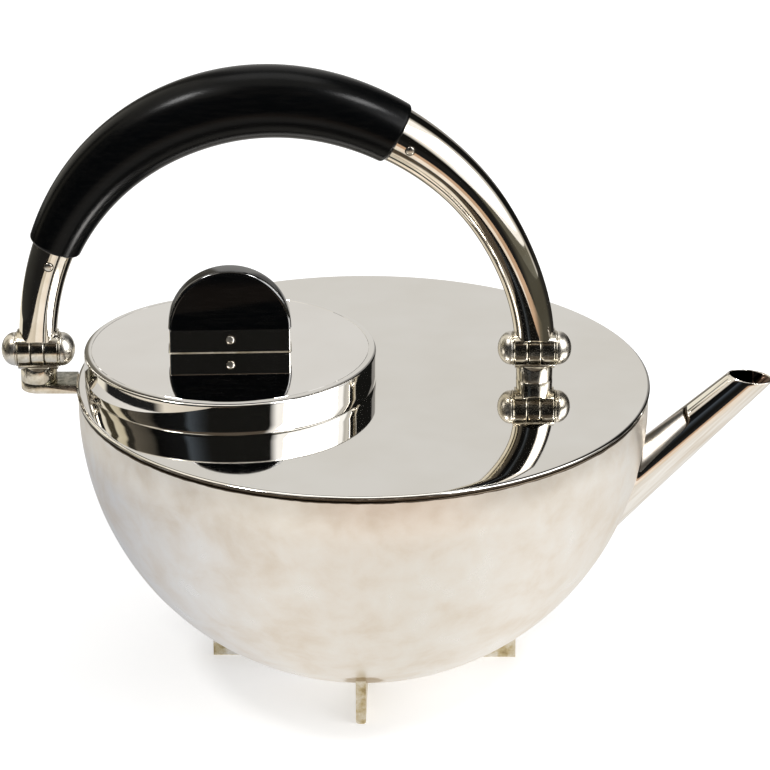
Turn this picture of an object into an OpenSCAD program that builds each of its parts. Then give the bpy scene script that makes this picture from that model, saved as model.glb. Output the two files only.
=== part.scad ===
// A hemispherical teapot: silver bowl, flat top plate, lift-off lid with a disc knob,
// straight spout, cross-shaped foot and a bail handle that swings on two hinges.
// Millimetres. The origin is on the table under the centre of the bowl, +Z is up,
// and +X points along the spout.

/* [Body] */
// Diameter of the top plate
plate_d = 170; // [120:1:240]
// Thickness of the top plate
plate_t = 1.8; // [1:0.1:3]
// How far the top plate stands out past the bowl
plate_lip = 0.4; // [0.1:0.1:2]
// Height of the straight band between the half sphere and the top plate
band_h = 4.2; // [3:0.1:12]
// Thickness of the bowl's wall
bowl_wall = 1.2; // [0.8:0.1:3]
// Height of the bowl's lowest point above the table
bowl_lift = 1; // [0.8:0.1:20]

/* [Foot] */
// Length of each crossed blade
foot_span = 92; // [60:1:110]
// Thickness of the blades
blade_t = 3; // [1.5:0.1:5]
// Chamfer along the blades' bottom edges
blade_chamfer = 0.5; // [0.1:0.1:0.7]
// How far the cross is turned from the spout's line
foot_turn = -1.1; // [-45:0.1:45]

/* [Spout] */
// Slope of the spout above the horizontal
spout_angle = 43.2; // [35:0.1:50]
// Distance of the tip's centre beyond the top plate's edge
spout_reach = 30.2; // [20:0.1:50]
// Height of the tip's centre above the top plate
spout_rise = 0.1; // [-5:0.1:10]
// Outer diameter at the tip
spout_tip_d = 10.7; // [8:0.1:14]
// How deep the spout's underside, nearly tangent to the bowl, is let into it
spout_sink = 0.5; // [0.3:0.1:1.5]
// Wall of the spout
spout_wall = 0.9; // [0.6:0.1:2]
// Slope of the tip's cut, downwards and outwards
tip_cut_angle = 8; // [0:1:30]
// Diameter of the strainer's holes
strainer_hole_d = 2.6; // [1:0.1:3]
// Number of strainer holes round the middle one
strainer_holes = 6; // [4:1:6]

/* [Lid] */
// Diameter of the lid
lid_d = 86.4; // [70:0.1:100]
// Height of the lid above the top plate
lid_h = 9.8; // [6:0.1:16]
// Gap between the lid's edge and the top plate's edge
lid_rim_gap = 2.4; // [1:0.1:6]
// Thickness of the lid's wall
lid_wall = 1; // [0.6:0.1:2]
// Radius of the rounded shoulder
lid_round = 2.2; // [1.2:0.1:2.5]
// Thickness of the disc let into the shoulder
lid_disc_t = 1.2; // [0.8:0.1:2]
// Fine joint line round the disc
lid_seam = 0.15; // [0.05:0.01:0.4]
// Width of the ledge that carries the disc
lid_ledge = 1.2; // [0.8:0.1:2]
// How far the lid stands out past the neck ring
lid_overlap = 3.2; // [2:0.1:6]
// Thickness of the neck ring
neck_t = 1.2; // [0.8:0.1:2]
// Height of the neck ring above the top plate
neck_rise = 2; // [1:0.1:4]
// Depth of the neck ring below the top plate
neck_drop = 3; // [1:0.1:6]
// Thickness of the lid's flange
flange_t = 0.8; // [0.6:0.1:2]
// Radial clearance between the flange and the neck ring
flange_clearance = 0.3; // [0.2:0.05:0.6]
// Depth of the flange below the top plate's upper face
flange_drop = 6; // [3:0.1:8]
// How far the lid is turned in its neck
lid_turn = 2; // [-180:1:180]

/* [Knob] */
// Diameter of the disc knob
knob_d = 36.3; // [24:0.1:44]
// Thickness of the disc knob
knob_t = 6.2; // [4:0.1:10]
// Height of the knob above the lid
knob_rise = 25.3; // [22:0.1:36]
// Rounding of the disc's edge
knob_round = 1.2; // [0.4:0.1:2]
// Height of the knob's holder
holder_h = 7.1; // [5:0.1:9]
// How much narrower than the disc the holder is
holder_step = 0.6; // [0.2:0.1:3]
// Thickness of the holder's sheet
holder_t = 0.8; // [0.5:0.1:1.5]
// Chamfer on the holder's upright edges
holder_chamfer = 0.3; // [0.1:0.1:0.4]

/* [Hinges] */
// Distance from the top plate's edge out to the left hinge
left_hinge_out = 11.2; // [9:0.1:20]
// Distance from the body's axis to the right hinge
right_hinge_x = 50.7; // [30:0.1:60]
// Height of the hinge axis above the top plate
hinge_rise = 9.5; // [8.5:0.1:16]
// Outer diameter of the knuckles
knuckle_d = 10; // [8:0.1:12]
// Length of each outer knuckle
outer_knuckle_l = 3.95; // [3:0.05:6]
// Length of the middle knuckle
middle_knuckle_l = 3.8; // [3:0.05:6]
// Side play between knuckles
knuckle_gap = 0.2; // [0.1:0.05:0.4]
// Diameter of the hinge pins
pin_d = 3; // [2:0.1:4]
// Radial clearance of the pin in the middle knuckle
pin_clearance = 0.05; // [0.02:0.01:0.1]
// Radial clearance where a bearer passes over a knuckle that it is not soldered to
bearer_clearance = 0.12; // [0.08:0.01:0.3]
// Thickness of the half-round bearers
bearer_t = 0.9; // [0.6:0.1:1.5]
// Angle of the upper bearer's edges above the hinge axis
upper_edge_angle = 38; // [30:1:45]
// Angle of the lower bearer's edges below the hinge axis
lower_edge_angle = 45; // [40:1:55]
// Thickness of the washers between knuckles and caps
washer_t = 0.55; // [0.3:0.05:1]
// How far the washers stand out past the knuckles
washer_step = 0.2; // [0:0.05:0.5]
// Depth of the rounded end caps
cap_depth = 4.3; // [3.5:0.05:5]
// Diameter of the posts
post_d = 10.8; // [9:0.1:11.6]
// Thickness of the bracket at the left hinge
bracket_t = 2.8; // [2:0.1:4.5]

/* [Handle] */
// How far the bail's centre line rises past a half circle
bail_crown = 4.5; // [0:0.1:10]
// Angle of the crown's highest point, from the right hinge round the bail
crown_angle = 108; // [95:1:120]
// Angle where the crown starts
crown_start = 40; // [20:1:60]
// Fullness of the crown's left side
crown_fullness = 1.2; // [1:0.05:1.5]
// How far the right arm is drawn in, halfway to the grip
arm_dip = 0.7; // [0:0.1:2]
// Radius of the right arm at its hinge
right_arm_root_r = 5.95; // [4:0.05:7]
// Radius of the left arm at its hinge
left_arm_root_r = 5.6; // [4:0.1:7]
// Radius of the right arm at the grip
right_arm_end_r = 8.35; // [7:0.05:9]
// Radius of the left arm at the grip
left_arm_end_r = 6.35; // [6:0.05:7]
// Angle of the grip's right end, from the right hinge round the bail
grip_start = 64; // [50:0.5:70]
// Angle of the grip's left end
grip_end = 154.4; // [140:0.1:160]
// Angle where the grip is thickest
grip_peak = 103; // [90:1:120]
// Radius of the grip at its thickest
grip_peak_r = 10.8; // [10:0.1:14]
// Radius of the grip at its right end
grip_right_r = 9.35; // [9.1:0.05:11]
// Radius of the grip at its left end
grip_left_r = 7.8; // [7.2:0.1:10]
// Rounding of the grip's ends
grip_round = 1.2; // [0.5:0.1:2]
// Wall of the hollow arms
arm_wall = 1.2; // [0.8:0.1:2]
// Length of the grip's tenon in each arm
tenon_l = 11; // [8:0.1:16]
// Clearance round the tenons, filled with cement
tenon_clearance = 0.1; // [0.05:0.01:0.3]
// Diameter of the rivets in the arms and the knob
rivet_d = 2.4; // [1.5:0.1:3]
// Height of the rivets' domed ends
rivet_dome = 0.35; // [0.2:0.05:0.8]
// Clearance round the rivets
rivet_clearance = 0.02; // [0.01:0.01:0.05]

/* [Hidden] */
$fn = 96;
silver = "#cfcdc6";
satin_silver = "#d8d4cc";
old_silver = "#b8a27a";
ebony = "#141414";
big = 400;          // a length past every piece, for cutting away
past = 1;           // how far a cut runs past the face that it leaves
rim_sides = 192;    // sides of the top plate's circle
bore_sides = 24;    // sides of rivet bores and strainer holes

// body
plate_r = plate_d / 2;
bowl_r = plate_r - plate_lip;
bowl_z = bowl_lift + bowl_r;                // centre of the half sphere
plate_z = bowl_z + band_h;                  // under face of the top plate
top_z = plate_z + plate_t;                  // upper face of the top plate

// spout: a cone whose base is where its axis passes nearest to the bowl's centre
tip_x = plate_r + spout_reach;
tip_z = top_z + spout_rise;
tip_r = spout_tip_d / 2;
spout_l = tip_x * cos(spout_angle) + (tip_z - bowl_z) * sin(spout_angle);
spout_offset = tip_x * sin(spout_angle) - (tip_z - bowl_z) * cos(spout_angle);
spout_base_r = bowl_r - spout_sink - spout_offset;
spout_root = sqrt(bowl_r * bowl_r - spout_offset * spout_offset);   // where the axis meets the bowl
spout_root_r = spout_base_r + (tip_r - spout_base_r) * spout_root / spout_l;
spout_run_out = 12;                         // cone continued outwards, to be cut at the tip
strainer_land = 1;                          // metal left between the holes and the spout's wall
strainer_ring_r = spout_root_r - spout_wall - strainer_land - strainer_hole_d / 2;
strainer_drill = 22;                        // reach of the holes each way along the spout's axis

// lid
lid_r = lid_d / 2;
lid_x = -(plate_r - lid_rim_gap - lid_r);
neck_r = lid_r - lid_overlap;
flange_r = neck_r - neck_t - flange_clearance;
lid_disc_r = lid_r - lid_round - lid_seam;
lid_top_z = top_z + lid_h;
lid_disc_z = lid_top_z - lid_disc_t;        // under face of the lid's disc
foot_edge = 0.4;                            // chamfer on the lid wall's bottom edge
neck_lead = 0.3;                            // chamfer on the neck ring's top edge

// knob
knob_r = knob_d / 2;
knob_z = lid_top_z + knob_rise - knob_r;
holder_w = knob_d - holder_step;
holder_top_z = lid_top_z + holder_h;
knob_rivet_z = lid_top_z + (holder_h + holder_t) / 2;

// hinges
axis_z = top_z + hinge_rise;
left_x = -(plate_r + left_hinge_out);
bail_x = (left_x + right_hinge_x) / 2;
bail_r = (right_hinge_x - left_x) / 2;      // radius of the bail's centre line at the hinges
knuckle_r = knuckle_d / 2;
pin_r = pin_d / 2;
barrel_l = 2 * outer_knuckle_l + middle_knuckle_l + 2 * knuckle_gap;
bearer_r = knuckle_r + bearer_clearance + bearer_t;
outer_knuckle_x = (middle_knuckle_l + outer_knuckle_l) / 2 + knuckle_gap;
lower_bearer_l = barrel_l - 2 * knuckle_gap;
washer_x = (barrel_l + washer_t) / 2;
cap_x = barrel_l / 2 + washer_t;
cap_r = knuckle_r;
cap_bore = cap_depth / 2;                   // how far the pin reaches into each cap
pin_l = 2 * (cap_x + cap_bore);

// handle: angles run round the bail from the right hinge at 0 to the left hinge at 180
bail_step = 3;                              // degrees between rings of the arms and the grip
ring_sides = 36;
grip_steps = 30;
round_steps = 4;                            // rings in each rounded end of the grip
root_angle = 1;                             // the arms start a little inside the bearer's cut
dip_end = 50;                               // angle where the right arm's dip ends

// How much of the crown there is at angle a, from 0 to 1
function crown(a) = a < crown_angle
    ? pow(cos(90 * min(1, (crown_angle - a) / (crown_angle - crown_start))), 2)
    : pow(cos(90 * pow((a - crown_angle) / (180 - crown_angle), crown_fullness)), 2);

// Distance of the bail's centre line from its middle
function bail_rho(a) =
    bail_r + bail_crown * crown(a) - (a < dip_end ? arm_dip * pow(sin(180 * a / dip_end), 2) : 0);
function arm_r(a) = a < 90
    ? right_arm_root_r + (right_arm_end_r - right_arm_root_r) * pow(a / grip_start, 2)
    : left_arm_root_r + (left_arm_end_r - left_arm_root_r) * pow((180 - a) / (180 - grip_end), 2);
function grip_r(a) = a < grip_peak
    ? grip_right_r + (grip_peak_r - grip_right_r) * sin(90 * (a - grip_start) / (grip_peak - grip_start))
    : grip_left_r + (grip_peak_r - grip_left_r) * sin(90 * (grip_end - a) / (grip_end - grip_peak));
tenon_right_turn = tenon_l / bail_rho(grip_start) * 180 / PI;
tenon_left_turn = tenon_l / bail_rho(grip_end) * 180 / PI;
socket_extra = 0.5;                         // degrees of free space past each tenon's end
rivet_share = 0.4;                          // where along each tenon its rivet crosses
rivet_right_angle = grip_start - tenon_right_turn * rivet_share;
rivet_left_angle = grip_end + tenon_left_turn * rivet_share;

// A ring of points round the bail's centre line at angle a; turn is 1 or -1, the way that
// the points run round the centre line
function ring(a, r, turn) = [
    for (i = [0:ring_sides - 1])
        let (t = 360 * i / ring_sides, d = bail_rho(a) + r * cos(t))
        [bail_x + d * cos(a), turn * r * sin(t), axis_z + d * sin(a)]
];

// A closed solid through a list of rings [angle, radius], capped flat at both ends
module ring_solid(rings) {
    last = len(rings) - 1;
    turn = sign(rings[1][0] - rings[0][0]);
    points = [for (g = rings) each ring(g[0], g[1], turn)];
    sides = [
        for (k = [0:last - 1]) for (i = [0:ring_sides - 1])
            let (j = (i + 1) % ring_sides, a = k * ring_sides, b = a + ring_sides)
            each [[a + i, b + i, b + j], [a + i, b + j, a + j]]
    ];
    start_cap = [[for (i = [0:ring_sides - 1]) i]];
    end_cap = [[for (i = [ring_sides - 1:-1:0]) last * ring_sides + i]];
    polyhedron(points, concat(start_cap, sides, end_cap));
}

// Moves a piece from a hinge at the origin, axis along X, to its place on the pot
module at_hinge(x) {
    translate([x, 0, axis_z]) children();
}

// A cylinder along X, centred on the origin
module rod_x(r, l) {
    rotate([0, 90, 0]) cylinder(r = r, h = l, center = true);
}

// Everything below two planes through the X axis that rise at the given angle on each side
module below_planes(angle) {
    rise = big * tan(angle);
    rotate([90, 0, 90]) linear_extrude(big, center = true)
        polygon([[0, 0], [big, rise], [big, -big], [-big, -big], [-big, rise]]);
}

// A pin along Y with a low dome on each end; half is the distance from its middle to a dome's foot
module domed_pin(r, half, dome) {
    dome_r = (r * r + dome * dome) / (2 * dome);
    rotate([90, 0, 0]) rotate_extrude() {
        translate([0, -half]) square([r, 2 * half]);
        for (side = [0, 1]) mirror([0, side]) intersection() {
            translate([0, half - past]) square([r, dome + past]);
            translate([0, half + dome - dome_r]) circle(dome_r);
        }
    }
}

// ---- body ----

// Half section of a bowl of radius r, with its straight band up to height h
module bowl_section(r, h) {
    intersection() {
        circle(r);
        translate([0, -big]) square([big, big]);
    }
    square([r, h]);
}

// Frame of the spout: Z along its axis, and the origin where that passes nearest the bowl's centre
module at_spout() {
    translate([tip_x, 0, tip_z]) rotate([0, 90 - spout_angle, 0]) translate([0, 0, -spout_l])
        children();
}

module strainer_bores() {
    at_spout() translate([0, 0, spout_root - strainer_drill]) {
        cylinder(d = strainer_hole_d, h = 2 * strainer_drill, $fn = bore_sides);
        for (i = [1:strainer_holes]) rotate([0, 0, 360 * i / strainer_holes])
            translate([strainer_ring_r, 0, 0])
                cylinder(d = strainer_hole_d, h = 2 * strainer_drill, $fn = bore_sides);
    }
}

module body_bowl() {
    color(satin_silver) difference() {
        translate([0, 0, bowl_z]) rotate_extrude() difference() {
            bowl_section(bowl_r, band_h);
            bowl_section(bowl_r - bowl_wall, band_h + past);
        }
        strainer_bores();
    }
}

// The spout's cone, with its face moved in by inset
module spout_cone(inset) {
    end_r = tip_r + (tip_r - spout_base_r) * spout_run_out / spout_l;
    at_spout() cylinder(r1 = spout_base_r - inset, r2 = end_r - inset, h = spout_l + spout_run_out);
}

module spout() {
    color(silver) difference() {
        spout_cone(0);
        spout_cone(spout_wall);
        translate([0, 0, bowl_z]) sphere(bowl_r);
        translate([tip_x, 0, tip_z]) rotate([0, tip_cut_angle, 0]) translate([-big / 2, -big / 2, 0])
            cube(big);
    }
}

module top_plate() {
    color(silver) difference() {
        translate([0, 0, plate_z]) cylinder(r = plate_r, h = plate_t, $fn = rim_sides);
        translate([lid_x, 0, plate_z - past]) cylinder(r = neck_r, h = plate_t + 2 * past);
    }
}

module neck_ring() {
    inner_r = neck_r - neck_t;
    bottom = -plate_t - neck_drop;
    color(silver) translate([lid_x, 0, top_z]) rotate_extrude() polygon([
        [inner_r, bottom], [neck_r, bottom], [neck_r, neck_rise - neck_lead],
        [neck_r - neck_lead, neck_rise], [inner_r + neck_lead, neck_rise],
        [inner_r, neck_rise - neck_lead]
    ]);
}

// One blade along X, its top following the bowl
module blade() {
    half = blade_t / 2;
    difference() {
        rotate([90, 0, 90]) linear_extrude(foot_span, center = true) polygon([
            [-half, blade_chamfer], [blade_chamfer - half, 0], [half - blade_chamfer, 0],
            [half, blade_chamfer], [half, bowl_z], [-half, bowl_z]
        ]);
        translate([0, 0, bowl_z]) sphere(bowl_r);
    }
}

// The slot of a half-lap joint across a blade, from height z0 to z1
module lap_slot(z0, z1) {
    translate([-blade_t / 2, -blade_t, z0]) cube([blade_t, 2 * blade_t, z1 - z0]);
}

module foot_blade_long() {
    color(old_silver) rotate([0, 0, foot_turn]) difference() {
        blade();
        lap_slot(bowl_lift / 2, bowl_lift + past);
    }
}

module foot_blade_cross() {
    color(old_silver) rotate([0, 0, 90 + foot_turn]) difference() {
        blade();
        lap_slot(-past, bowl_lift / 2);
    }
}

// ---- fixed half of the hinges ----

module handle_bracket() {
    color(silver) difference() {
        translate([left_x, 0, top_z - bracket_t]) {
            cylinder(d = post_d, h = bracket_t);
            translate([0, -post_d / 2, 0]) cube([left_hinge_out + post_d, post_d, bracket_t]);
        }
        translate([0, 0, plate_z]) cylinder(r = plate_r, h = plate_t + past, $fn = rim_sides);
        cylinder(r = bowl_r, h = plate_z + past, $fn = rim_sides);
    }
}

module post(x) {
    color(silver) at_hinge(x) difference() {
        translate([0, 0, -hinge_rise]) cylinder(d = post_d, h = hinge_rise);
        rod_x(bearer_r, big);
        mirror([0, 0, 1]) below_planes(lower_edge_angle);
    }
}

// Cradle on the post: soldered to the middle knuckle, clear of the outer ones
module lower_bearer(x) {
    color(silver) at_hinge(x) mirror([0, 0, 1]) difference() {
        rod_x(bearer_r, lower_bearer_l);
        rod_x(knuckle_r, big);
        for (side = [-1, 1]) translate([side * (middle_knuckle_l + barrel_l) / 2, 0, 0])
            rod_x(knuckle_r + bearer_clearance, barrel_l);
        below_planes(lower_edge_angle);
    }
}

module middle_knuckle(x) {
    color(silver) at_hinge(x) difference() {
        rod_x(knuckle_r, middle_knuckle_l);
        rod_x(pin_r + pin_clearance, barrel_l);
    }
}

// ---- swinging half of the hinges ----

// Cradle under an arm: soldered to the outer knuckles, clear of the middle one
module upper_bearer(x) {
    color(silver) at_hinge(x) difference() {
        rod_x(bearer_r, barrel_l);
        rod_x(knuckle_r, big);
        rod_x(knuckle_r + bearer_clearance, middle_knuckle_l + 2 * knuckle_gap);
        below_planes(upper_edge_angle);
    }
}

module outer_knuckles(x) {
    color(silver) at_hinge(x) for (side = [-1, 1]) translate([side * outer_knuckle_x, 0, 0])
        difference() {
            rod_x(knuckle_r, outer_knuckle_l);
            rod_x(pin_r, barrel_l);
        }
}

module hinge_pin(x) {
    color(silver) at_hinge(x) rod_x(pin_r, pin_l);
}

module hinge_washers(x) {
    color(silver) at_hinge(x) for (side = [-1, 1]) translate([side * washer_x, 0, 0])
        difference() {
            rod_x(knuckle_r + washer_step, washer_t);
            rod_x(pin_r, barrel_l);
        }
}

// Rounded caps on the pin's ends
module hinge_caps(x) {
    round_r = (cap_r * cap_r + cap_depth * cap_depth) / (2 * cap_depth);
    color(silver) at_hinge(x) for (side = [-1, 1]) rotate([0, side * 90, 0]) translate([0, 0, cap_x])
        rotate_extrude() difference() {
            intersection() {
                square([cap_r, cap_depth]);
                translate([0, cap_depth - round_r]) circle(round_r);
            }
            square([pin_r, cap_bore]);
        }
}

// ---- handle ----

// Rings of an arm's face between two angles, moved in by inset
function arm_rings(a0, a1, inset) =
    let (steps = ceil(abs(a1 - a0) / bail_step))
    [for (k = [0:steps])
        let (a = a0 + (a1 - a0) * k / steps)
        [a, arm_r(a) - inset]];

// The rounded end of the grip at angle a: way is 1 where the grip lies at larger angles, or -1
function round_rings(a, way) =
    let (turn = grip_round / bail_rho(a) * 180 / PI)
    [for (i = [0:round_steps])
        let (t = 90 * i / round_steps)
        [a + way * turn * (1 - cos(t)), grip_r(a) - grip_round * (1 - sin(t))]];

function reversed(list) = [for (i = [len(list) - 1:-1:0]) list[i]];

// The cut that seats an arm on its bearer
module bearer_seat(x) {
    at_hinge(x) {
        rod_x(bearer_r, big);
        below_planes(upper_edge_angle);
    }
}

// Moves a piece along Y to the middle of the bail's section at angle a
module at_rivet(a) {
    translate([bail_x + bail_rho(a) * cos(a), 0, axis_z + bail_rho(a) * sin(a)]) children();
}

module rivet_bore(a) {
    at_rivet(a) rotate([90, 0, 0])
        cylinder(d = rivet_d + 2 * rivet_clearance, h = big, center = true, $fn = bore_sides);
}

// A hollow arm: up its outside, over the end at the grip and down inside the socket
module left_arm() {
    socket_end = grip_end + tenon_left_turn + socket_extra;
    color(silver) difference() {
        ring_solid(concat(arm_rings(180 - root_angle, grip_end, 0),
                          arm_rings(grip_end, socket_end, arm_wall)));
        bearer_seat(left_x);
        rivet_bore(rivet_left_angle);
    }
}

module right_arm() {
    socket_end = grip_start - tenon_right_turn - socket_extra;
    color(silver) difference() {
        ring_solid(concat(arm_rings(root_angle, grip_start, 0),
                          arm_rings(grip_start, socket_end, arm_wall)));
        bearer_seat(right_hinge_x);
        rivet_bore(rivet_right_angle);
    }
}

module grip() {
    tenon_inset = arm_wall + tenon_clearance;
    first = round_rings(grip_start, 1);
    last = round_rings(grip_end, -1);
    a0 = first[round_steps][0];
    a1 = last[round_steps][0];
    middle = [for (k = [1:grip_steps - 1])
        let (a = a0 + (a1 - a0) * k / grip_steps)
        [a, grip_r(a)]];
    color(ebony) difference() {
        ring_solid(concat(
            arm_rings(grip_start - tenon_right_turn, grip_start, tenon_inset),
            first, middle, reversed(last),
            arm_rings(grip_end, grip_end + tenon_left_turn, tenon_inset)));
        rivet_bore(rivet_right_angle);
        rivet_bore(rivet_left_angle);
    }
}

module grip_rivet(a) {
    color(silver) at_rivet(a) domed_pin(rivet_d / 2, arm_r(a), rivet_dome);
}

// ---- lid ----

// Moves a piece to the middle of the lid
module at_lid() {
    translate([lid_x, 0, 0]) rotate([0, 0, lid_turn]) children();
}

module lid_shell() {
    shoulder_r = lid_r - lid_round;
    ledge_r = shoulder_r - lid_ledge;
    color(silver) at_lid() rotate_extrude() difference() {
        union() {
            polygon([
                [ledge_r, top_z], [lid_r - foot_edge, top_z], [lid_r, top_z + foot_edge],
                [lid_r, lid_top_z - lid_round], [shoulder_r, lid_top_z - lid_round],
                [shoulder_r, lid_top_z], [ledge_r, lid_top_z]
            ]);
            translate([shoulder_r, lid_top_z - lid_round]) circle(lid_round);
        }
        translate([0, lid_disc_z]) square([shoulder_r, lid_disc_t + past]);
        translate([0, top_z - past]) square([lid_r - lid_wall, lid_disc_z - lid_wall - top_z + past]);
    }
}

module lid_disc() {
    color(silver) at_lid() translate([0, 0, lid_disc_z]) cylinder(r = lid_disc_r, h = lid_disc_t);
}

module lid_flange() {
    color(silver) at_lid() translate([0, 0, top_z - flange_drop]) difference() {
        cylinder(r = flange_r, h = flange_drop + lid_disc_z - top_z);
        translate([0, 0, -past]) cylinder(r = flange_r - flange_t, h = big);
    }
}

// A disc on edge, with a square tenon below it that fills the holder
module knob() {
    core_r = knob_r - knob_round;
    color(ebony) at_lid() difference() {
        union() {
            translate([0, 0, knob_z]) rotate([90, 0, 0]) rotate_extrude() {
                translate([0, -knob_t / 2]) square([core_r, knob_t]);
                translate([0, knob_round - knob_t / 2]) square([knob_r, knob_t - 2 * knob_round]);
                for (side = [-1, 1]) translate([core_r, side * (knob_t / 2 - knob_round)])
                    circle(knob_round);
            }
            translate([-holder_w / 2, -knob_t / 2, lid_top_z + holder_t])
                cube([holder_w, knob_t, holder_h - holder_t]);
        }
        knob_surroundings();
        knob_rivet_bore();
    }
}

// What is cut off the disc below the holder's top: its ends, and all below the holder's floor
module knob_surroundings() {
    translate([-big / 2, -big / 2, lid_top_z + holder_t - big]) cube(big);
    for (side = [0, 1]) mirror([side, 0, 0])
        translate([holder_w / 2, -big / 2, holder_top_z - big]) cube(big);
}

module knob_rivet_bore() {
    translate([0, 0, knob_rivet_z]) rotate([90, 0, 0])
        cylinder(d = rivet_d + 2 * rivet_clearance, h = big, center = true, $fn = bore_sides);
}

// A rectangle with its corners cut off
module chamfered(w, d) {
    x = w / 2 - holder_chamfer;
    y = d / 2 - holder_chamfer;
    polygon([
        [-w / 2, -y], [-x, -d / 2], [x, -d / 2], [w / 2, -y],
        [w / 2, y], [x, d / 2], [-x, d / 2], [-w / 2, y]
    ]);
}

module knob_holder() {
    depth = knob_t + 2 * holder_t;
    color(silver) at_lid() difference() {
        translate([0, 0, lid_top_z]) linear_extrude(holder_h) chamfered(holder_w, depth);
        translate([-big / 2, -knob_t / 2, lid_top_z + holder_t]) cube([big, knob_t, holder_h]);
        knob_rivet_bore();
    }
}

module knob_rivet() {
    color(silver) at_lid() translate([0, 0, knob_rivet_z])
        domed_pin(rivet_d / 2, knob_t / 2 + holder_t, rivet_dome);
}

body_bowl();
top_plate();
neck_ring();
spout();
foot_blade_long();
foot_blade_cross();
handle_bracket();
post(left_x);  // left_post
post(right_hinge_x);  // right_post
lower_bearer(left_x);  // left_lower_bearer
lower_bearer(right_hinge_x);  // right_lower_bearer
middle_knuckle(left_x);  // left_middle_knuckle
middle_knuckle(right_hinge_x);  // right_middle_knuckle
outer_knuckles(left_x);  // left_outer_knuckles
outer_knuckles(right_hinge_x);  // right_outer_knuckles
upper_bearer(left_x);  // left_upper_bearer
upper_bearer(right_hinge_x);  // right_upper_bearer
hinge_pin(left_x);  // left_hinge_pin
hinge_pin(right_hinge_x);  // right_hinge_pin
hinge_washers(left_x);  // left_hinge_washers
hinge_washers(right_hinge_x);  // right_hinge_washers
hinge_caps(left_x);  // left_hinge_caps
hinge_caps(right_hinge_x);  // right_hinge_caps
left_arm();
right_arm();
grip();
grip_rivet(rivet_left_angle);  // left_grip_rivet
grip_rivet(rivet_right_angle);  // right_grip_rivet
lid_shell();
lid_disc();
lid_flange();
knob();
knob_holder();
knob_rivet();
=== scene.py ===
import math

import bmesh
import bpy
from mathutils import Matrix, Vector, noise


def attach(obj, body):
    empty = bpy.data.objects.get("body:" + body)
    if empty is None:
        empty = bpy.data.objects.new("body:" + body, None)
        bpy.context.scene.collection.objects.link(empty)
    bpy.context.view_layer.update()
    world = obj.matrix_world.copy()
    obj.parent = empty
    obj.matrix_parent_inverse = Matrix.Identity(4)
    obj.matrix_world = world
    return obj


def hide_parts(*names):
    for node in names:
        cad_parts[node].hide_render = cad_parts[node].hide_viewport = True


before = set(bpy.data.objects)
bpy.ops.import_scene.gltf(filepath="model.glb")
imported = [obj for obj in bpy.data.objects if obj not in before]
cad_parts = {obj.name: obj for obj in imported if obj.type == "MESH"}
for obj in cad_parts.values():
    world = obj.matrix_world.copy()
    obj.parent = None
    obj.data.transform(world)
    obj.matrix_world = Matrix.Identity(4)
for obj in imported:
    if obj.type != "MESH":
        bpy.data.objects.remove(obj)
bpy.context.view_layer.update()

# ---- sizes of the pot, in millimetres; a mesh is turned to metres when it is made ----

MM = 0.001
BOWL_R, BOWL_DEEP, BOWL_WALL, BOWL_Z = 84.6, 85.4, 1.2, 85.6
BAND_TOP_Z, SEAM_DEEP = 89.0, 0.5
PLATE_R, PLATE_Z, TOP_Z = 85.0, 89.8, 91.6
PLATE_FALL, FALL_WIDTH, FALL_CLEAR = 0.62, 24, 10
NECK_R = 40.0
LID_X, LID_R, LID_ROUND, LID_WALL, LID_LEDGE_R = -39.4, 43.2, 2.2, 1.0, 39.8
LID_DISC_R, LID_DISC_Z, LID_TOP_Z = 40.98, 100.2, 101.4
LID_TURN = math.radians(2)
KNOB_R, KNOB_T, KNOB_Z, KNOB_EASE = 18.15, 6.2, 108.55, 1.0
HOLDER_W, HOLDER_T, HOLDER_TOP_Z, HOLDER_CORNER = 35.7, 0.8, 108.5, 0.3
LEFT_X, RIGHT_X, AXIS_Z = -96.2, 50.7, 101.1
KNUCKLE_R, PIN_R, MIDDLE_W, OUTER_W, OUTER_X = 5.0, 1.5, 3.8, 3.95, 4.075
WASHER_R, WASHER_W, WASHER_X, CAP_X, CAP_DEEP = 5.2, 0.55, 6.325, 6.6, 4.3
KNUCKLE_JOINT_X, WASHER_JOINT_X, JOINT_W, JOINT_DEEP = 2.0, 6.05, 0.16, 0.22
BEARER_R, UPPER_EDGE = 6.02, math.radians(38)
# the bail's angles are in degrees round its middle, from the right hinge
BAIL_X, BAIL_R = (LEFT_X + RIGHT_X) / 2, (RIGHT_X - LEFT_X) / 2
BAIL_CROWN, CROWN_PEAK, CROWN_START, CROWN_FULLNESS = 4.5, 108.0, 40.0, 1.2
RIGHT_ROOT_R, RIGHT_END_R, LEFT_ROOT_R, LEFT_END_R = 5.95, 8.35, 5.6, 6.35
ARM_WALL, ARM_DIP, DIP_END = 1.2, 0.7, 50.0
GRIP_START, GRIP_END, GRIP_PEAK, GRIP_ROUND = 64.0, 154.4, 103.0, 1.2
GRIP_RIGHT_R, GRIP_PEAK_R, GRIP_LEFT_R = 9.35, 10.8, 7.8
RIVET_DOME, HEAD_R, HEAD_H, HEAD_STAIN_R, HEAD_STAIN_H = 0.35, 1.25, 0.42, 1.55, 0.17
SPOUT_TURN, TIP_CUT = math.radians(43.2), math.radians(8)
SPOUT_TIP = Vector((115.2, 0, 91.7))
SPOUT_L, SPOUT_BASE_R, SPOUT_TIP_R, SPOUT_MOUTH_WALL = 88.15, 9.69, 5.35, 0.45
SPOUT_FILLET, FILLET_FLARE = 1.4, 0.6
STRAINER_HOLE_R, STRAINER_RING_R, PUNCH_L = 1.3, 4.5, 32
FOOT_HALF_SPAN, FOOT_PATCH_R = 46.5, 6.2
WELD = 0.002 * MM  # points nearer than this are one point
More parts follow.
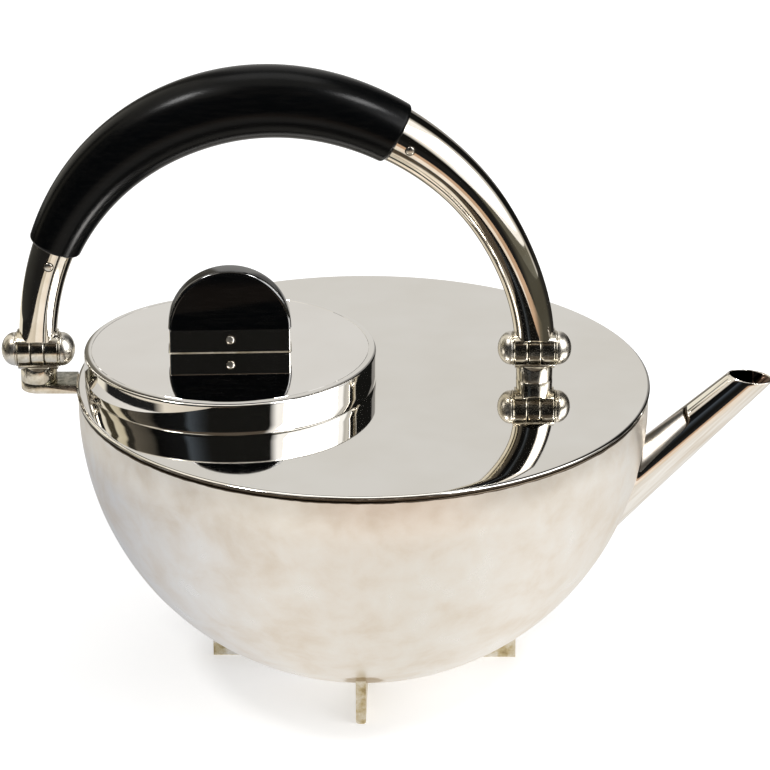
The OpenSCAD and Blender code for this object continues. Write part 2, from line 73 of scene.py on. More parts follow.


# ---- colours and materials ----

# a Mix node's sockets for colours: how much of the mark laid on top, the finish under it, the mark,
# and the result; the mark is a real stain in some places and painted shade or a painted reflection
# in others
SHARE, UNDER, STAIN, MIXED = 0, 6, 7, 2


def linear(hex_colour):
    """An sRGB hex colour as the linear colour that a shader takes."""
    parts = [int(hex_colour[i:i + 2], 16) / 255 for i in (1, 3, 5)]
    return tuple(c / 12.92 if c <= 0.04045 else ((c + 0.055) / 1.055) ** 2.4 for c in parts) + (1,)


def add(tree, kind, settings=(), links=(), stops=()):
    """Adds a node. A setting is one of its properties or an input, a link feeds an input, and a
    colour ramp's stops are (position, hex colour)."""
    made = tree.nodes.new(kind)
    for key, value in dict(settings).items():
        if isinstance(key, str) and hasattr(made, key):
            setattr(made, key, value)
        else:
            made.inputs[key].default_value = value
    for key, socket in dict(links).items():
        tree.links.new(socket, made.inputs[key])
    if stops:
        cells = made.color_ramp.elements
        while len(cells) < len(stops):
            cells.new(0.5)
        for cell, (place, colour) in zip(cells, stops):
            cell.position = place
            cell.color = linear(colour)
    return made


def new_material(name):
    """An empty material, and its tree."""
    material = bpy.data.materials.new(name)
    material.use_nodes = True
    material.node_tree.nodes.clear()
    return material, material.node_tree


def joint_tarnish_and_shade(tree, place, low, high):
    """1 between two heights in mm, along the soldered joint under the plate's rim: tarnish in the
    joint, and painted shade under the rim's overhang.
    """
    height = add(tree, "ShaderNodeSeparateXYZ", links={0: place}).outputs["Z"]
    ragged = add(tree, "ShaderNodeTexNoise", {"Scale": 1 / (4 * MM), "Detail": 3.0},
                 {"Vector": place})
    wander = add(tree, "ShaderNodeMath", {"operation": "MULTIPLY_ADD", 1: 0.6 * MM},
                 {0: ragged.outputs["Fac"], 2: height})
    from_middle = add(tree, "ShaderNodeMath",
                      {"operation": "SUBTRACT", 1: ((low + high) / 2 + 0.3) * MM},
                      {0: wander.outputs[0]})
    away = add(tree, "ShaderNodeMath", {"operation": "ABSOLUTE"}, {0: from_middle.outputs[0]})
    half, soft = (high - low) / 2 * MM, 0.12 * MM
    return add(tree, "ShaderNodeMapRange", {"interpolation_type": "SMOOTHSTEP",
                                            "From Min": half + soft, "From Max": half - soft},
               {"Value": away.outputs[0]}).outputs[0]


def polished_silver(name, clean, dull, cloud_mm, rough, wave_mm, wave_height, marks=None):
    """Sterling silver polished on a mop: a mirror with soft hand-made waves, and a warm
    breath of tarnish that comes and goes. The marks are what one piece has on top of that."""
    material, tree = new_material(name)
    place = add(tree, "ShaderNodeTexCoord").outputs["Object"]
    cloud = add(tree, "ShaderNodeTexNoise",
                {"Scale": 1 / (cloud_mm * MM), "Detail": 3.0, "Roughness": 0.6},
                {"Vector": place})
    tint = add(tree, "ShaderNodeValToRGB", links={"Fac": cloud.outputs["Fac"]},
               stops=[(0.36, clean), (0.68, dull)])
    colour = tint.outputs["Color"]
    # wiping marks, drawn 1.5 mm apart although the real ones are finer
    stretch = add(tree, "ShaderNodeMapping",
                  {"Scale": (1.0, 0.06, 1.0), "Rotation": (0.2, 0.1, 0.6)}, {"Vector": place})
    wipe = add(tree, "ShaderNodeTexNoise", {"Scale": 1 / (1.5 * MM), "Detail": 1.0},
               {"Vector": stretch.outputs[0]})
    gloss = add(tree, "ShaderNodeMapRange", {"From Min": 0.35, "From Max": 0.8,
                                             "To Min": rough, "To Max": rough * 1.6},
                {"Value": wipe.outputs["Fac"]})
    wave = add(tree, "ShaderNodeTexNoise", {"Scale": 1 / (wave_mm * MM), "Detail": 1.0},
               {"Vector": place})
    bump = add(tree, "ShaderNodeBump", {"Strength": 1.0, "Distance": wave_height * MM},
               {"Height": wave.outputs["Fac"]})
    shader = add(tree, "ShaderNodeBsdfPrincipled", {"Metallic": 1.0},
                 {"Base Color": marks(tree, place, colour) if marks else colour,
                  "Roughness": gloss.outputs[0], "Normal": bump.outputs[0]})
    add(tree, "ShaderNodeOutputMaterial", links={"Surface": shader.outputs[0]})
    return material


def rim_tarnish_and_shade(tree, place, colour):
    """A black line under the plate's rounded rim: tarnish in the joint, and painted shade where the
    rim overhangs.
    """
    line = joint_tarnish_and_shade(tree, place, 89.0, 90.45)
    return add(tree, "ShaderNodeMix", {"data_type": "RGBA", STAIN: linear("#5A5044")},
               {SHARE: line, UNDER: colour}).outputs[MIXED]


def spout_marks(tree, place, colour):
    """Warm streaks along the drawn tube, and brown-grey inside the bore where the mop never
    reached."""
    along = add(tree, "ShaderNodeMapping",
                {"vector_type": "TEXTURE", "Scale": (22.0, 1.0, 1.0),
                 "Rotation": (0.0, -SPOUT_TURN, 0.0)}, {"Vector": place})
    drawn = add(tree, "ShaderNodeTexNoise", {"Scale": 1 / (1.6 * MM), "Detail": 3.0},
                {"Vector": along.outputs[0]})
    streak = add(tree, "ShaderNodeMapRange",
                 {"From Min": 0.42, "From Max": 0.75, "To Max": 0.55},
                 {"Value": drawn.outputs["Fac"]})
    streaked = add(tree, "ShaderNodeMix", {"data_type": "RGBA", STAIN: linear("#C9B394")},
                   {SHARE: streak.outputs[0], UNDER: colour})
    bore = add(tree, "ShaderNodeAttribute", {"attribute_name": "bore_tarnish"})
    return add(tree, "ShaderNodeMix", {"data_type": "RGBA", STAIN: linear("#5C4B42")},
               {SHARE: bore.outputs["Fac"], UNDER: streaked.outputs[MIXED]}).outputs[MIXED]


def bracket_top_painted_reflection(tree, place, colour):
    """A darker grey-green painted on the strip's top beside the post, mottled: a painted reflection
    of the dark above it.
    """
    height = add(tree, "ShaderNodeSeparateXYZ", links={0: place}).outputs["Z"]
    top = add(tree, "ShaderNodeMath", {"operation": "GREATER_THAN", 1: (TOP_Z - 0.05) * MM},
              {0: height})
    spots = add(tree, "ShaderNodeTexNoise", {"Scale": 1 / (1.4 * MM), "Detail": 4.0},
                {"Vector": place})
    thick = add(tree, "ShaderNodeMapRange",
                {"From Min": 0.3, "From Max": 0.6, "To Min": 0.55, "To Max": 1.0},
                {"Value": spots.outputs["Fac"]})
    mask = add(tree, "ShaderNodeMath", {"operation": "MULTIPLY"},
               {0: top.outputs[0], 1: thick.outputs[0]})
    return add(tree, "ShaderNodeMix", {"data_type": "RGBA", STAIN: linear("#6B6A5C")},
               {SHARE: mask.outputs[0], UNDER: colour}).outputs[MIXED]


def foot_tan_patch(tree, place):
    """1 in a tan patch where each of the foot's four blades runs out on the bowl."""
    axes = add(tree, "ShaderNodeSeparateXYZ", links={0: place})
    across = add(tree, "ShaderNodeMath", {"operation": "ABSOLUTE"}, {0: axes.outputs["X"]})
    along = add(tree, "ShaderNodeMath", {"operation": "ABSOLUTE"}, {0: axes.outputs["Y"]})
    both = {0: across.outputs[0], 1: along.outputs[0]}
    near = add(tree, "ShaderNodeMath", {"operation": "MINIMUM"}, both)
    far = add(tree, "ShaderNodeMath", {"operation": "MAXIMUM"}, both)
    per_stain = 1 / (FOOT_PATCH_R * MM)
    wide = add(tree, "ShaderNodeMath", {"operation": "MULTIPLY", 1: per_stain},
               {0: near.outputs[0]})
    long_way = add(tree, "ShaderNodeMath", {"operation": "MULTIPLY_ADD", 1: per_stain,
                                            2: -FOOT_HALF_SPAN / FOOT_PATCH_R},
                   {0: far.outputs[0]})
    spot = add(tree, "ShaderNodeCombineXYZ",
               links={"X": wide.outputs[0], "Y": long_way.outputs[0]})
    reach = add(tree, "ShaderNodeVectorMath", {"operation": "LENGTH"}, {0: spot.outputs[0]})
    ragged = add(tree, "ShaderNodeTexNoise", {"Scale": 1 / (2 * MM), "Detail": 3.0},
                 {"Vector": place})
    edge = add(tree, "ShaderNodeMath", {"operation": "MULTIPLY_ADD", 1: 0.5},
               {0: ragged.outputs["Fac"], 2: reach.outputs["Value"]})
    return add(tree, "ShaderNodeMapRange",
               {"interpolation_type": "SMOOTHSTEP", "From Min": 1.35, "From Max": 1.0,
                "To Max": 0.8}, {"Value": edge.outputs[0]}).outputs[0]


def planished_silver():
    """Silver raised with a hammer, planished and scoured to a satin white: broad soft reflections
    that break up in clouds 5 to 15 mm across, with warm tan patches where the feet meet it."""
    material, tree = new_material("planished_satin_silver")
    place = add(tree, "ShaderNodeTexCoord").outputs["Object"]
    cloud = add(tree, "ShaderNodeTexNoise", {"Scale": 1 / (14 * MM), "Detail": 5.0,
                                             "Roughness": 0.6, "Distortion": 0.25},
                {"Vector": place})
    tint = add(tree, "ShaderNodeValToRGB", links={"Fac": cloud.outputs["Fac"]},
               stops=[(0.32, "#F5F3EF"), (0.5, "#F2EDE6"), (0.7, "#EBE2D6")])
    # tan patches on the bowl where the foot's blades run out on it
    soldered = add(tree, "ShaderNodeMix", {"data_type": "RGBA", STAIN: linear("#A1854F")},
                   {SHARE: foot_tan_patch(tree, place), UNDER: tint.outputs["Color"]})
    # a dark band on the bowl just under the plate: tarnish in the joint, and painted shade under
    # the rim's overhang
    seam = add(tree, "ShaderNodeMix", {"data_type": "RGBA", STAIN: linear("#5A5044")},
               {SHARE: joint_tarnish_and_shade(tree, place, 88.75, PLATE_Z),
                UNDER: soldered.outputs[MIXED]})
    gloss = add(tree, "ShaderNodeMapRange",
                {"From Min": 0.3, "From Max": 0.75, "To Min": 0.26, "To Max": 0.40},
                {"Value": cloud.outputs["Fac"]})
    facets = add(tree, "ShaderNodeTexNoise", {"Scale": 1 / (9 * MM), "Detail": 1.0},
                 {"Vector": place})
    bump = add(tree, "ShaderNodeBump", {"Strength": 1.0, "Distance": 0.07 * MM},
               {"Height": facets.outputs["Fac"]})
    shader = add(tree, "ShaderNodeBsdfPrincipled", {"Metallic": 1.0},
                 {"Base Color": seam.outputs[MIXED], "Roughness": gloss.outputs[0],
                  "Normal": bump.outputs[0]})
    add(tree, "ShaderNodeOutputMaterial", links={"Surface": shader.outputs[0]})
    return material


def fire_stained_silver():
    """Sheet silver left as soldered: straw and brown fire stain over a dull satin face,
    with the edges rubbed pale."""
    material, tree = new_material("fire_stained_silver")
    place = add(tree, "ShaderNodeTexCoord").outputs["Object"]
    cloud = add(tree, "ShaderNodeTexNoise",
                {"Scale": 1 / (5 * MM), "Detail": 4.0, "Roughness": 0.65}, {"Vector": place})
    tint = add(tree, "ShaderNodeValToRGB", links={"Fac": cloud.outputs["Fac"]},
               stops=[(0.38, "#E9E3D6"), (0.56, "#CBBB94"), (0.72, "#8A7146")])
    gloss = add(tree, "ShaderNodeMapRange", {"To Min": 0.25, "To Max": 0.55},
                {"Value": cloud.outputs["Fac"]})
    shader = add(tree, "ShaderNodeBsdfPrincipled", {"Metallic": 1.0},
                 {"Base Color": tint.outputs["Color"], "Roughness": gloss.outputs[0]})
    add(tree, "ShaderNodeOutputMaterial", links={"Surface": shader.outputs[0]})
    return material


def black_wood(name, rough, ior, shine, pore_height):
    """Ebony: near black, with brown-black growth streaks 1 mm wide and fine open pores."""
    material, tree = new_material(name)
    place = add(tree, "ShaderNodeTexCoord").outputs["Object"]
    along = add(tree, "ShaderNodeMapping", {"Scale": (0.12, 1.0, 1.0)}, {"Vector": place})
    streak = add(tree, "ShaderNodeTexNoise", {"Scale": 1 / MM, "Detail": 3.0},
                 {"Vector": along.outputs[0]})
    tint = add(tree, "ShaderNodeValToRGB", links={"Fac": streak.outputs["Fac"]},
               stops=[(0.4, "#050607"), (0.7, "#0B0B0B")])
    pores = add(tree, "ShaderNodeTexNoise",
                {"Scale": 1 / (0.6 * MM), "Detail": 3.0, "Roughness": 0.7}, {"Vector": place})
    gloss = add(tree, "ShaderNodeMapRange", {"To Min": rough * 0.8, "To Max": rough * 1.25},
                {"Value": pores.outputs["Fac"]})
    bump = add(tree, "ShaderNodeBump", {"Strength": 1.0, "Distance": pore_height * MM},
               {"Height": pores.outputs["Fac"]})
    shader = add(tree, "ShaderNodeBsdfPrincipled", {"IOR": ior, "Specular IOR Level": shine},
                 {"Base Color": tint.outputs["Color"], "Roughness": gloss.outputs[0],
                  "Normal": bump.outputs[0]})
    add(tree, "ShaderNodeOutputMaterial", links={"Surface": shader.outputs[0]})
    return material


# each polished finish: clean and dull colour, cloud size in mm, roughness, wave size and height
# in mm. Lid wall, plate and spout are mirrors that give back hard-edged bands of light and dark
mirror_silver = polished_silver("mop_polished_silver", "#F5F3EF", "#F0EDE8",
                                40, 0.025, 24, 0.008)
plate_silver = polished_silver("mop_polished_plate_silver", "#F5F3EF", "#EFECE6",
                               40, 0.03, 30, 0.008, rim_tarnish_and_shade)
spout_silver = polished_silver("mop_polished_spout_silver", "#F5F3EF", "#F0EDE8",
                               40, 0.03, 12, 0.01, spout_marks)
# the lid's own disc, rubbed a little whiter than the plate by years of hands
lid_silver = polished_silver("mop_polished_lid_silver", "#FBF9F6", "#F6F3EF",
                             40, 0.025, 24, 0.008)
# drawn tube polished by hand, warmer and a little wavy, so its stripes bend
tube_silver = polished_silver("hand_polished_silver_tube", "#F1ECE3", "#E2D9CA",
                              9, 0.04, 10, 0.012)
# hinge parts that are handled and seldom polished: greyer, with blurred highlights
hinge_silver = polished_silver("handled_silver_hardware", "#E8E3D8", "#BDB4A0",
                               4, 0.14, 3, 0.012)
# ball ends and rivet heads rubbed to a satin, which give one soft round highlight
ball_silver = polished_silver("satin_silver_caps", "#ECE8E0", "#CFC8BA", 5, 0.24, 4, 0.008)
# black tarnish on the pins and round the rivet heads, and painted shade in the gaps between the
# knuckles and washers, each of which draws a dark line between two parts
dark_silver = polished_silver("blackened_silver_and_painted_joint_shade", "#5E574B", "#262320",
                              2, 0.3, 2, 0.02)
# soldered strip, clean on its faces, with a painted dark reflection on its top
bracket_silver = polished_silver("silver_strip_painted_dark_on_top", "#EDE7DB", "#CFC3AE",
                                 4, 0.18, 3, 0.015, bracket_top_painted_reflection)
satin_silver = planished_silver()
foot_silver = fire_stained_silver()
# waxed on the grip, so its highlights are soft; polished on the knob's faces, so they are sharp,
# and kept dark with a tenth of the rim's shine; on the knob's rim the shine is raised to full,
# which paints the bright highlight line along it
grip_wood = black_wood("waxed_ebony", 0.2, 1.5, 0.13, 0.014)
knob_wood = black_wood("polished_ebony", 0.08, 1.5, 0.1, 0.001)
rim_wood_painted_highlight = black_wood("ebony_rim_with_painted_highlight", 0.08, 1.8, 1.0, 0.001)


# ---- making pieces ----

def place_piece(name, mesh, body, nodes, material, sharp=30):
    """Cleans a mesh, gives it its finish, and stands it for its CAD nodes."""
    work = bmesh.new()
    work.from_mesh(mesh)
    bmesh.ops.remove_doubles(work, verts=work.verts, dist=WELD)
    bmesh.ops.recalc_face_normals(work, faces=work.faces)
    work.to_mesh(mesh)
    work.free()
    mesh.shade_smooth()
    mesh.set_sharp_from_angle(angle=math.radians(sharp))
    mesh.materials.clear()
    mesh.materials.append(material)
    piece = bpy.data.objects.new(name, mesh)
    bpy.context.scene.collection.objects.link(piece)
    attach(piece, body)
    if nodes:
        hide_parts(*nodes)
    return piece


def mesh_of(name, points, faces):
    """A mesh from points in mm."""
    mesh = bpy.data.meshes.new(name)
    mesh.from_pydata([Vector(p) * MM for p in points], [], faces)
    return mesh


def turned(name, outline, sides, centre_x=0.0, bend=None, closed=True):
    """An outline (r, z) turned about a vertical axis; bend may move each point."""
    points, faces, n = [], [], len(outline)
    for k in range(sides):
        a = 2 * math.pi * k / sides
        for r, z in outline:
            p = Vector((r * math.cos(a), r * math.sin(a), z))
            p = bend(p) if bend else p
            points.append((p.x + centre_x, p.y, p.z))
    for k in range(sides):
        a, b = k * n, (k + 1) % sides * n
        for i in range(n if closed else n - 1):
            j = (i + 1) % n
            faces.append((a + i, b + i, b + j, a + j))
    return mesh_of(name, points, faces)


def skin(name, rings, closed=False):
    """A surface through rings of as many points each; the open ends are closed flat."""
    sides = len(rings[0])
    points = [p for ring in rings for p in ring]
    faces = []
    for k in range(len(rings) - (0 if closed else 1)):
        a, b = k * sides, (k + 1) % len(rings) * sides
        for i in range(sides):
            j = (i + 1) % sides
            faces.append((a + i, a + j, b + j, b + i))
    if not closed:
        faces.append(tuple(range(sides)))
        faces.append(tuple((len(rings) - 1) * sides + i for i in range(sides)))
    return mesh_of(name, points, faces)


def new_growth(name, kinds):
    """A geometry node tree: itself, its named inputs' identifiers, and what they give inside."""
    tree = bpy.data.node_groups.new(name, "GeometryNodeTree")
    face = tree.interface
    face.new_socket("Geometry", in_out="INPUT", socket_type="NodeSocketGeometry")
    names = {label: face.new_socket(label, in_out="INPUT",
                                    socket_type="NodeSocket" + kind).identifier
             for label, kind in kinds.items()}
    face.new_socket("Geometry", in_out="OUTPUT", socket_type="NodeSocketGeometry")
    return tree, names, add(tree, "NodeGroupInput").outputs


def end_growth(tree, given, shape):
    """Ends a geometry node tree: its copies become real, and take the finish."""
    plain = add(tree, "GeometryNodeRealizeInstances", links={0: shape.outputs[0]})
    done = add(tree, "GeometryNodeSetMaterial",
               links={"Geometry": plain.outputs[0], "Material": given["Finish"]})
    add(tree, "NodeGroupOutput", links={0: done.outputs[0]})


def grown(name, base, tree, names, values):
    """Runs a node tree on a mesh and returns the result as a plain mesh."""
    carrier = bpy.data.objects.new(name + "_carrier", base)
    bpy.context.scene.collection.objects.link(carrier)
    grower = carrier.modifiers.new("grow", "NODES")
    grower.node_group = tree
    for label, value in values.items():
        grower[names[label]] = value
    bpy.context.view_layer.update()
    shown = carrier.evaluated_get(bpy.context.evaluated_depsgraph_get())
    mesh = bpy.data.meshes.new_from_object(shown)
    mesh.name = name
    carrier.modifiers.clear()
    bpy.data.objects.remove(carrier)
    return mesh


def eased(node_name, width):
    """A copy of a CAD node with its sharp edges softened, as a file and a polish leave them."""
    flat, edge = math.radians(1), math.radians(28)
    work = bmesh.new()
    work.from_mesh(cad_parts[node_name].data)
    bmesh.ops.remove_doubles(work, verts=work.verts, dist=WELD / 2)
    bmesh.ops.dissolve_limit(work, angle_limit=flat, verts=work.verts, edges=work.edges)
    sharp = [e for e in work.edges if len(e.link_faces) == 2 and e.calc_face_angle(0) > edge]
    bmesh.ops.bevel(work, geom=sharp, offset=width * MM, segments=2, profile=0.5,
                    affect="EDGES", clamp_overlap=True)
    mesh = bpy.data.meshes.new(node_name + "_eased")
    work.to_mesh(mesh)
    work.free()
    return mesh


# ---- bowl, plate and spout ----

def planish(p):
    """Moves a point of the bowl's outside in by up to 0.12 mm, in hollows 9 and 23 mm wide, as
    the planishing hammer does."""
    out = Vector((p.x, p.y, min(0, p.z - BOWL_Z)))
    if out.length < BOWL_R - 0.3 * BOWL_WALL:
        return p
    soft = noise.noise(p / 9) * 0.5 + noise.noise(p / 23 + Vector((7, 3, 1))) * 0.5
    return p - out.normalized() * 0.06 * (1 + max(-1, min(1, soft * 1.6)))


def bowl_outline():
    """The bowl's section, from under its foot out, up to the plate, and back inside."""
    outer_rows, inner_rows, inner_r = 120, 48, BOWL_R - BOWL_WALL
    out = [(0.0, BOWL_Z - BOWL_DEEP)]
    for k in range(1, outer_rows + 1):
        a = math.pi / 2 * k / outer_rows
        out.append((BOWL_R * math.sin(a), BOWL_Z - BOWL_DEEP * math.cos(a)))
    out += [(BOWL_R, BOWL_Z + 1.2), (BOWL_R, BOWL_Z + 2.4), (BOWL_R, BAND_TOP_Z),
            (BOWL_R - 0.12, BAND_TOP_Z + 0.2), (BOWL_R - SEAM_DEEP, BAND_TOP_Z + 0.3),
            (BOWL_R - SEAM_DEEP, PLATE_Z), (inner_r, PLATE_Z), (inner_r, BOWL_Z + 2)]
    for k in range(inner_rows, -1, -1):
        a = math.pi / 2 * k / inner_rows
        out.append((inner_r * math.sin(a), BOWL_Z - inner_r * math.cos(a)))
    return out


def spout_frame():
    """The spout's axis and the ways across it, from where it passes nearest the bowl's centre."""
    axis = Vector((math.cos(SPOUT_TURN), 0, math.sin(SPOUT_TURN)))
    across = Vector((math.sin(SPOUT_TURN), 0, -math.cos(SPOUT_TURN)))
    return SPOUT_TIP - axis * SPOUT_L, across, Vector((0, 1, 0)), axis


def strainer_tree():
    """Geometry nodes that pierce the bowl behind the spout: one hole and a ring of six."""
    tree, names, given = new_growth("strainer_holes", {
        "Hole Radius": "Float", "Ring Radius": "Float", "Punch Length": "Float",
        "Place": "Vector", "Turn": "Vector", "Finish": "Material"})
    ring = add(tree, "GeometryNodeMeshCircle", {"Vertices": 6}, {"Radius": given["Ring Radius"]})
    centre = add(tree, "GeometryNodeMeshLine", {"Count": 1})
    spots = add(tree, "GeometryNodeJoinGeometry", links={0: ring.outputs[0]})
    tree.links.new(centre.outputs[0], spots.inputs[0])
    punch = add(tree, "GeometryNodeMeshCylinder", {"Vertices": 24},
                {"Radius": given["Hole Radius"], "Depth": given["Punch Length"]})
    punches = add(tree, "GeometryNodeInstanceOnPoints",
                  links={"Points": spots.outputs[0], "Instance": punch.outputs[0]})
    loose = add(tree, "GeometryNodeRealizeInstances", links={0: punches.outputs[0]})
    aimed = add(tree, "GeometryNodeTransform",
                links={"Geometry": loose.outputs[0], "Translation": given["Place"],
                       "Rotation": given["Turn"]})
    bowl = add(tree, "GeometryNodeMergeByDistance", {"Distance": WELD},
               {"Geometry": given["Geometry"]})
    pierced = add(tree, "GeometryNodeMeshBoolean",
                  {"operation": "DIFFERENCE", "solver": "MANIFOLD"},
                  {0: bowl.outputs[0], 1: aimed.outputs[0]})
    end_growth(tree, given, pierced)
    return tree, names


def pierced_bowl():
    """The planished bowl, with the strainer's holes punched along the spout's axis."""
    start, _, _, axis = spout_frame()
    off = (start - Vector((0, 0, BOWL_Z))).length
    wall = start + axis * math.sqrt(BOWL_R ** 2 - off ** 2)
    bowl = turned("bowl", bowl_outline(), 384, bend=planish, closed=False)
    return grown("bowl_pierced", bowl, *strainer_tree(), {
        "Hole Radius": STRAINER_HOLE_R * MM, "Ring Radius": STRAINER_RING_R * MM,
        "Punch Length": PUNCH_L * MM, "Place": tuple(wall * MM),
        "Turn": (0.0, math.pi / 2 - SPOUT_TURN, 0.0), "Finish": satin_silver})


def make_spout():
    """A tapered tube set on the bowl with a fillet of solder, its mouth cut nearly level."""
    start, across, side, axis = spout_frame()
    cut_normal = Vector((math.sin(TIP_CUT), 0, math.cos(TIP_CUT)))
    middle = Vector((0, 0, BOWL_Z))
    sides, rows, fillet_rows, lip_rows, bore_rows = 96, 40, 6, 4, 12
    lip = SPOUT_MOUTH_WALL * 0.45

    def generator(t, inset):
        """Foot and direction of the cone's straight line at angle t."""
        way = across * math.cos(t) + side * math.sin(t)
        slope = way * (SPOUT_TIP_R - SPOUT_BASE_R) / SPOUT_L + axis
        return start + way * (SPOUT_BASE_R - inset), slope, way

    def on_bowl(foot, slope):
        f = foot - middle
        a, b, c = slope.dot(slope), 2 * f.dot(slope), f.dot(f) - (BOWL_R - 0.15) ** 2
        return (-b + math.sqrt(b * b - 4 * a * c)) / (2 * a)

    def on_cut(foot, slope):
        return (SPOUT_TIP - foot).dot(cut_normal) / slope.dot(cut_normal)

    columns = []
    for i in range(sides):
        t = 2 * math.pi * i / sides
        foot, slope, way = generator(t, 0)
        inner, inner_slope, _ = generator(t, SPOUT_MOUTH_WALL)
        s0, s1 = on_bowl(foot, slope), on_cut(foot, slope)
        e0, e1 = on_bowl(inner, inner_slope), on_cut(inner, inner_slope)
        column = []
        for k in range(fillet_rows):
            u = math.pi / 2 * k / fillet_rows
            column.append(foot + slope * (s0 + SPOUT_FILLET * (1 - math.cos(u)))
                          + way * SPOUT_FILLET * FILLET_FLARE * (1 - math.sin(u)))
        for k in range(rows + 1):
            column.append(foot + slope * (s0 + SPOUT_FILLET
                                          + (s1 - lip - s0 - SPOUT_FILLET) * k / rows))
        # the mouth's rounded lip, up its outside and down its inside
        for k in range(1, lip_rows + 1):
            u = math.pi / 2 * k / lip_rows
            column.append(foot + slope * (s1 - lip + lip * math.sin(u))
                          - way * lip * (1 - math.cos(u)))
        for k in range(lip_rows, 0, -1):
            u = math.pi / 2 * k / lip_rows
            column.append(inner + inner_slope * (e1 - lip + lip * math.sin(u))
                          + way * lip * (1 - math.cos(u)))
        for k in range(bore_rows, -1, -1):
            column.append(inner + inner_slope * (e0 + (e1 - lip - e0) * k / bore_rows))
        columns.append(column)
    rings = [[columns[i][k] for i in range(sides)] for k in range(len(columns[0]))]
    mesh = skin("spout", rings, closed=True)
    tarnish = mesh.attributes.new("bore_tarnish", "FLOAT", "POINT")
    first_in_bore = (len(rings) - bore_rows - 1) * sides
    for i, cell in enumerate(tarnish.data):
        cell.value = 1.0 if i >= first_in_bore else 0.0
    return mesh


def plate_droop(x, y):
    """How far the plate's top falls towards its rim, in mm, and not beside the lid."""
    way = max(0.0, (math.hypot(x, y) - (PLATE_R - FALL_WIDTH)) / FALL_WIDTH)
    clear = max(0.0, min(1.0, (math.hypot(x - LID_X, y) - LID_R) / FALL_CLEAR))
    return PLATE_FALL * way * way * clear


def make_plate():
    """The flat top: rings of points from the filling hole out to the half-round rim."""
    sides, flat_rows, rim_rows, lip = 256, 20, 14, (TOP_Z - PLATE_Z) / 2
    section = [("hole", 0, PLATE_Z), ("hole", 0, TOP_Z)]
    section += [("mix", k / flat_rows, TOP_Z) for k in range(1, flat_rows)]
    section += [("rim", lip * (1 - math.sin(a)), PLATE_Z + lip * (1 + math.cos(a)))
                for a in (math.pi * k / rim_rows for k in range(rim_rows + 1))]
    rings = []
    for kind, amount, z in section:
        ring = []
        for i in range(sides):
            t = 2 * math.pi * i / sides
            hole = Vector((LID_X + NECK_R * math.cos(t), NECK_R * math.sin(t), z))
            # the rim point straight out from the hole's middle
            way = Vector((math.cos(t), math.sin(t)))
            r = PLATE_R - (amount if kind == "rim" else lip)
            b = LID_X * way.x
            reach = -b + math.sqrt(b * b - LID_X * LID_X + r * r)
            rim = Vector((LID_X + way.x * reach, way.y * reach, z))
            p = hole if kind == "hole" else rim if kind == "rim" else hole.lerp(rim, amount)
            share = max(0, (z - PLATE_Z) / (TOP_Z - PLATE_Z))
            ring.append(p - Vector((0, 0, share * plate_droop(p.x, p.y))))
        rings.append(ring)
    return skin("plate", rings, closed=True)


# ---- handle ----

def bail_rho(a):
    """Distance in mm of the bail's centre line from its middle, at a degrees."""
    if a < CROWN_PEAK:
        way = min(1, (CROWN_PEAK - a) / (CROWN_PEAK - CROWN_START))
    else:
        way = ((a - CROWN_PEAK) / (180 - CROWN_PEAK)) ** CROWN_FULLNESS
    dip = ARM_DIP * math.sin(math.radians(180 * a / DIP_END)) ** 2 if a < DIP_END else 0
    return BAIL_R + BAIL_CROWN * math.cos(math.radians(90 * way)) ** 2 - dip


def arm_r(a):
    """Radius in mm of the arms, which widen from hinge to grip."""
    if a < 90:
        return RIGHT_ROOT_R + (RIGHT_END_R - RIGHT_ROOT_R) * (a / GRIP_START) ** 2
    return LEFT_ROOT_R + (LEFT_END_R - LEFT_ROOT_R) * ((180 - a) / (180 - GRIP_END)) ** 2


def grip_r(a):
    """Radius in mm of the grip, which swells to its peak."""
    if a < GRIP_PEAK:
        end_r, way = GRIP_RIGHT_R, (a - GRIP_START) / (GRIP_PEAK - GRIP_START)
    else:
        end_r, way = GRIP_LEFT_R, (GRIP_END - a) / (GRIP_END - GRIP_PEAK)
    return end_r + (GRIP_PEAK_R - end_r) * math.sin(math.radians(90 * way))


def bail_point(a, r, t):
    """A point r from the bail's centre line, at t round it."""
    d = bail_rho(a) + r * math.cos(t)
    turn = math.radians(a)
    return Vector((BAIL_X + d * math.cos(turn), r * math.sin(t), AXIS_Z + d * math.sin(turn)))


def make_arm(name, root, end):
    """A tapering tube that is cut at its root to sit on the hinge's cradle."""
    sides, rows, halvings, search = 64, 44, 30, 12
    way = 1 if end > root else -1

    def seated(a, t):
        p = bail_point(a, arm_r(a), t)
        z = p.z - AXIS_Z
        return z * z + p.y * p.y >= BEARER_R ** 2 and z >= abs(p.y) * math.tan(UPPER_EDGE)

    columns = []
    for i in range(sides):
        t = 2 * math.pi * i / sides
        low, high = root, root + way * search
        for _ in range(halvings):
            half = (low + high) / 2
            low, high = (low, half) if seated(half, t) else (half, high)
        first = bail_point(high, arm_r(high), t)
        seat = Vector((bail_point(high, 0, 0).x, 0, AXIS_Z + BEARER_R))
        column = [first.lerp(seat, share) for share in (0.9, 0.4)]
        column += [bail_point(a, arm_r(a), t) for a in
                   (high + (end - high) * k / rows for k in range(rows + 1))]
        column += [bail_point(end, arm_r(end) - ARM_WALL, t)]
        columns.append(column)
    rings = [[c[k] for c in columns] for k in range(len(columns[0]))]
    return skin(name, rings)


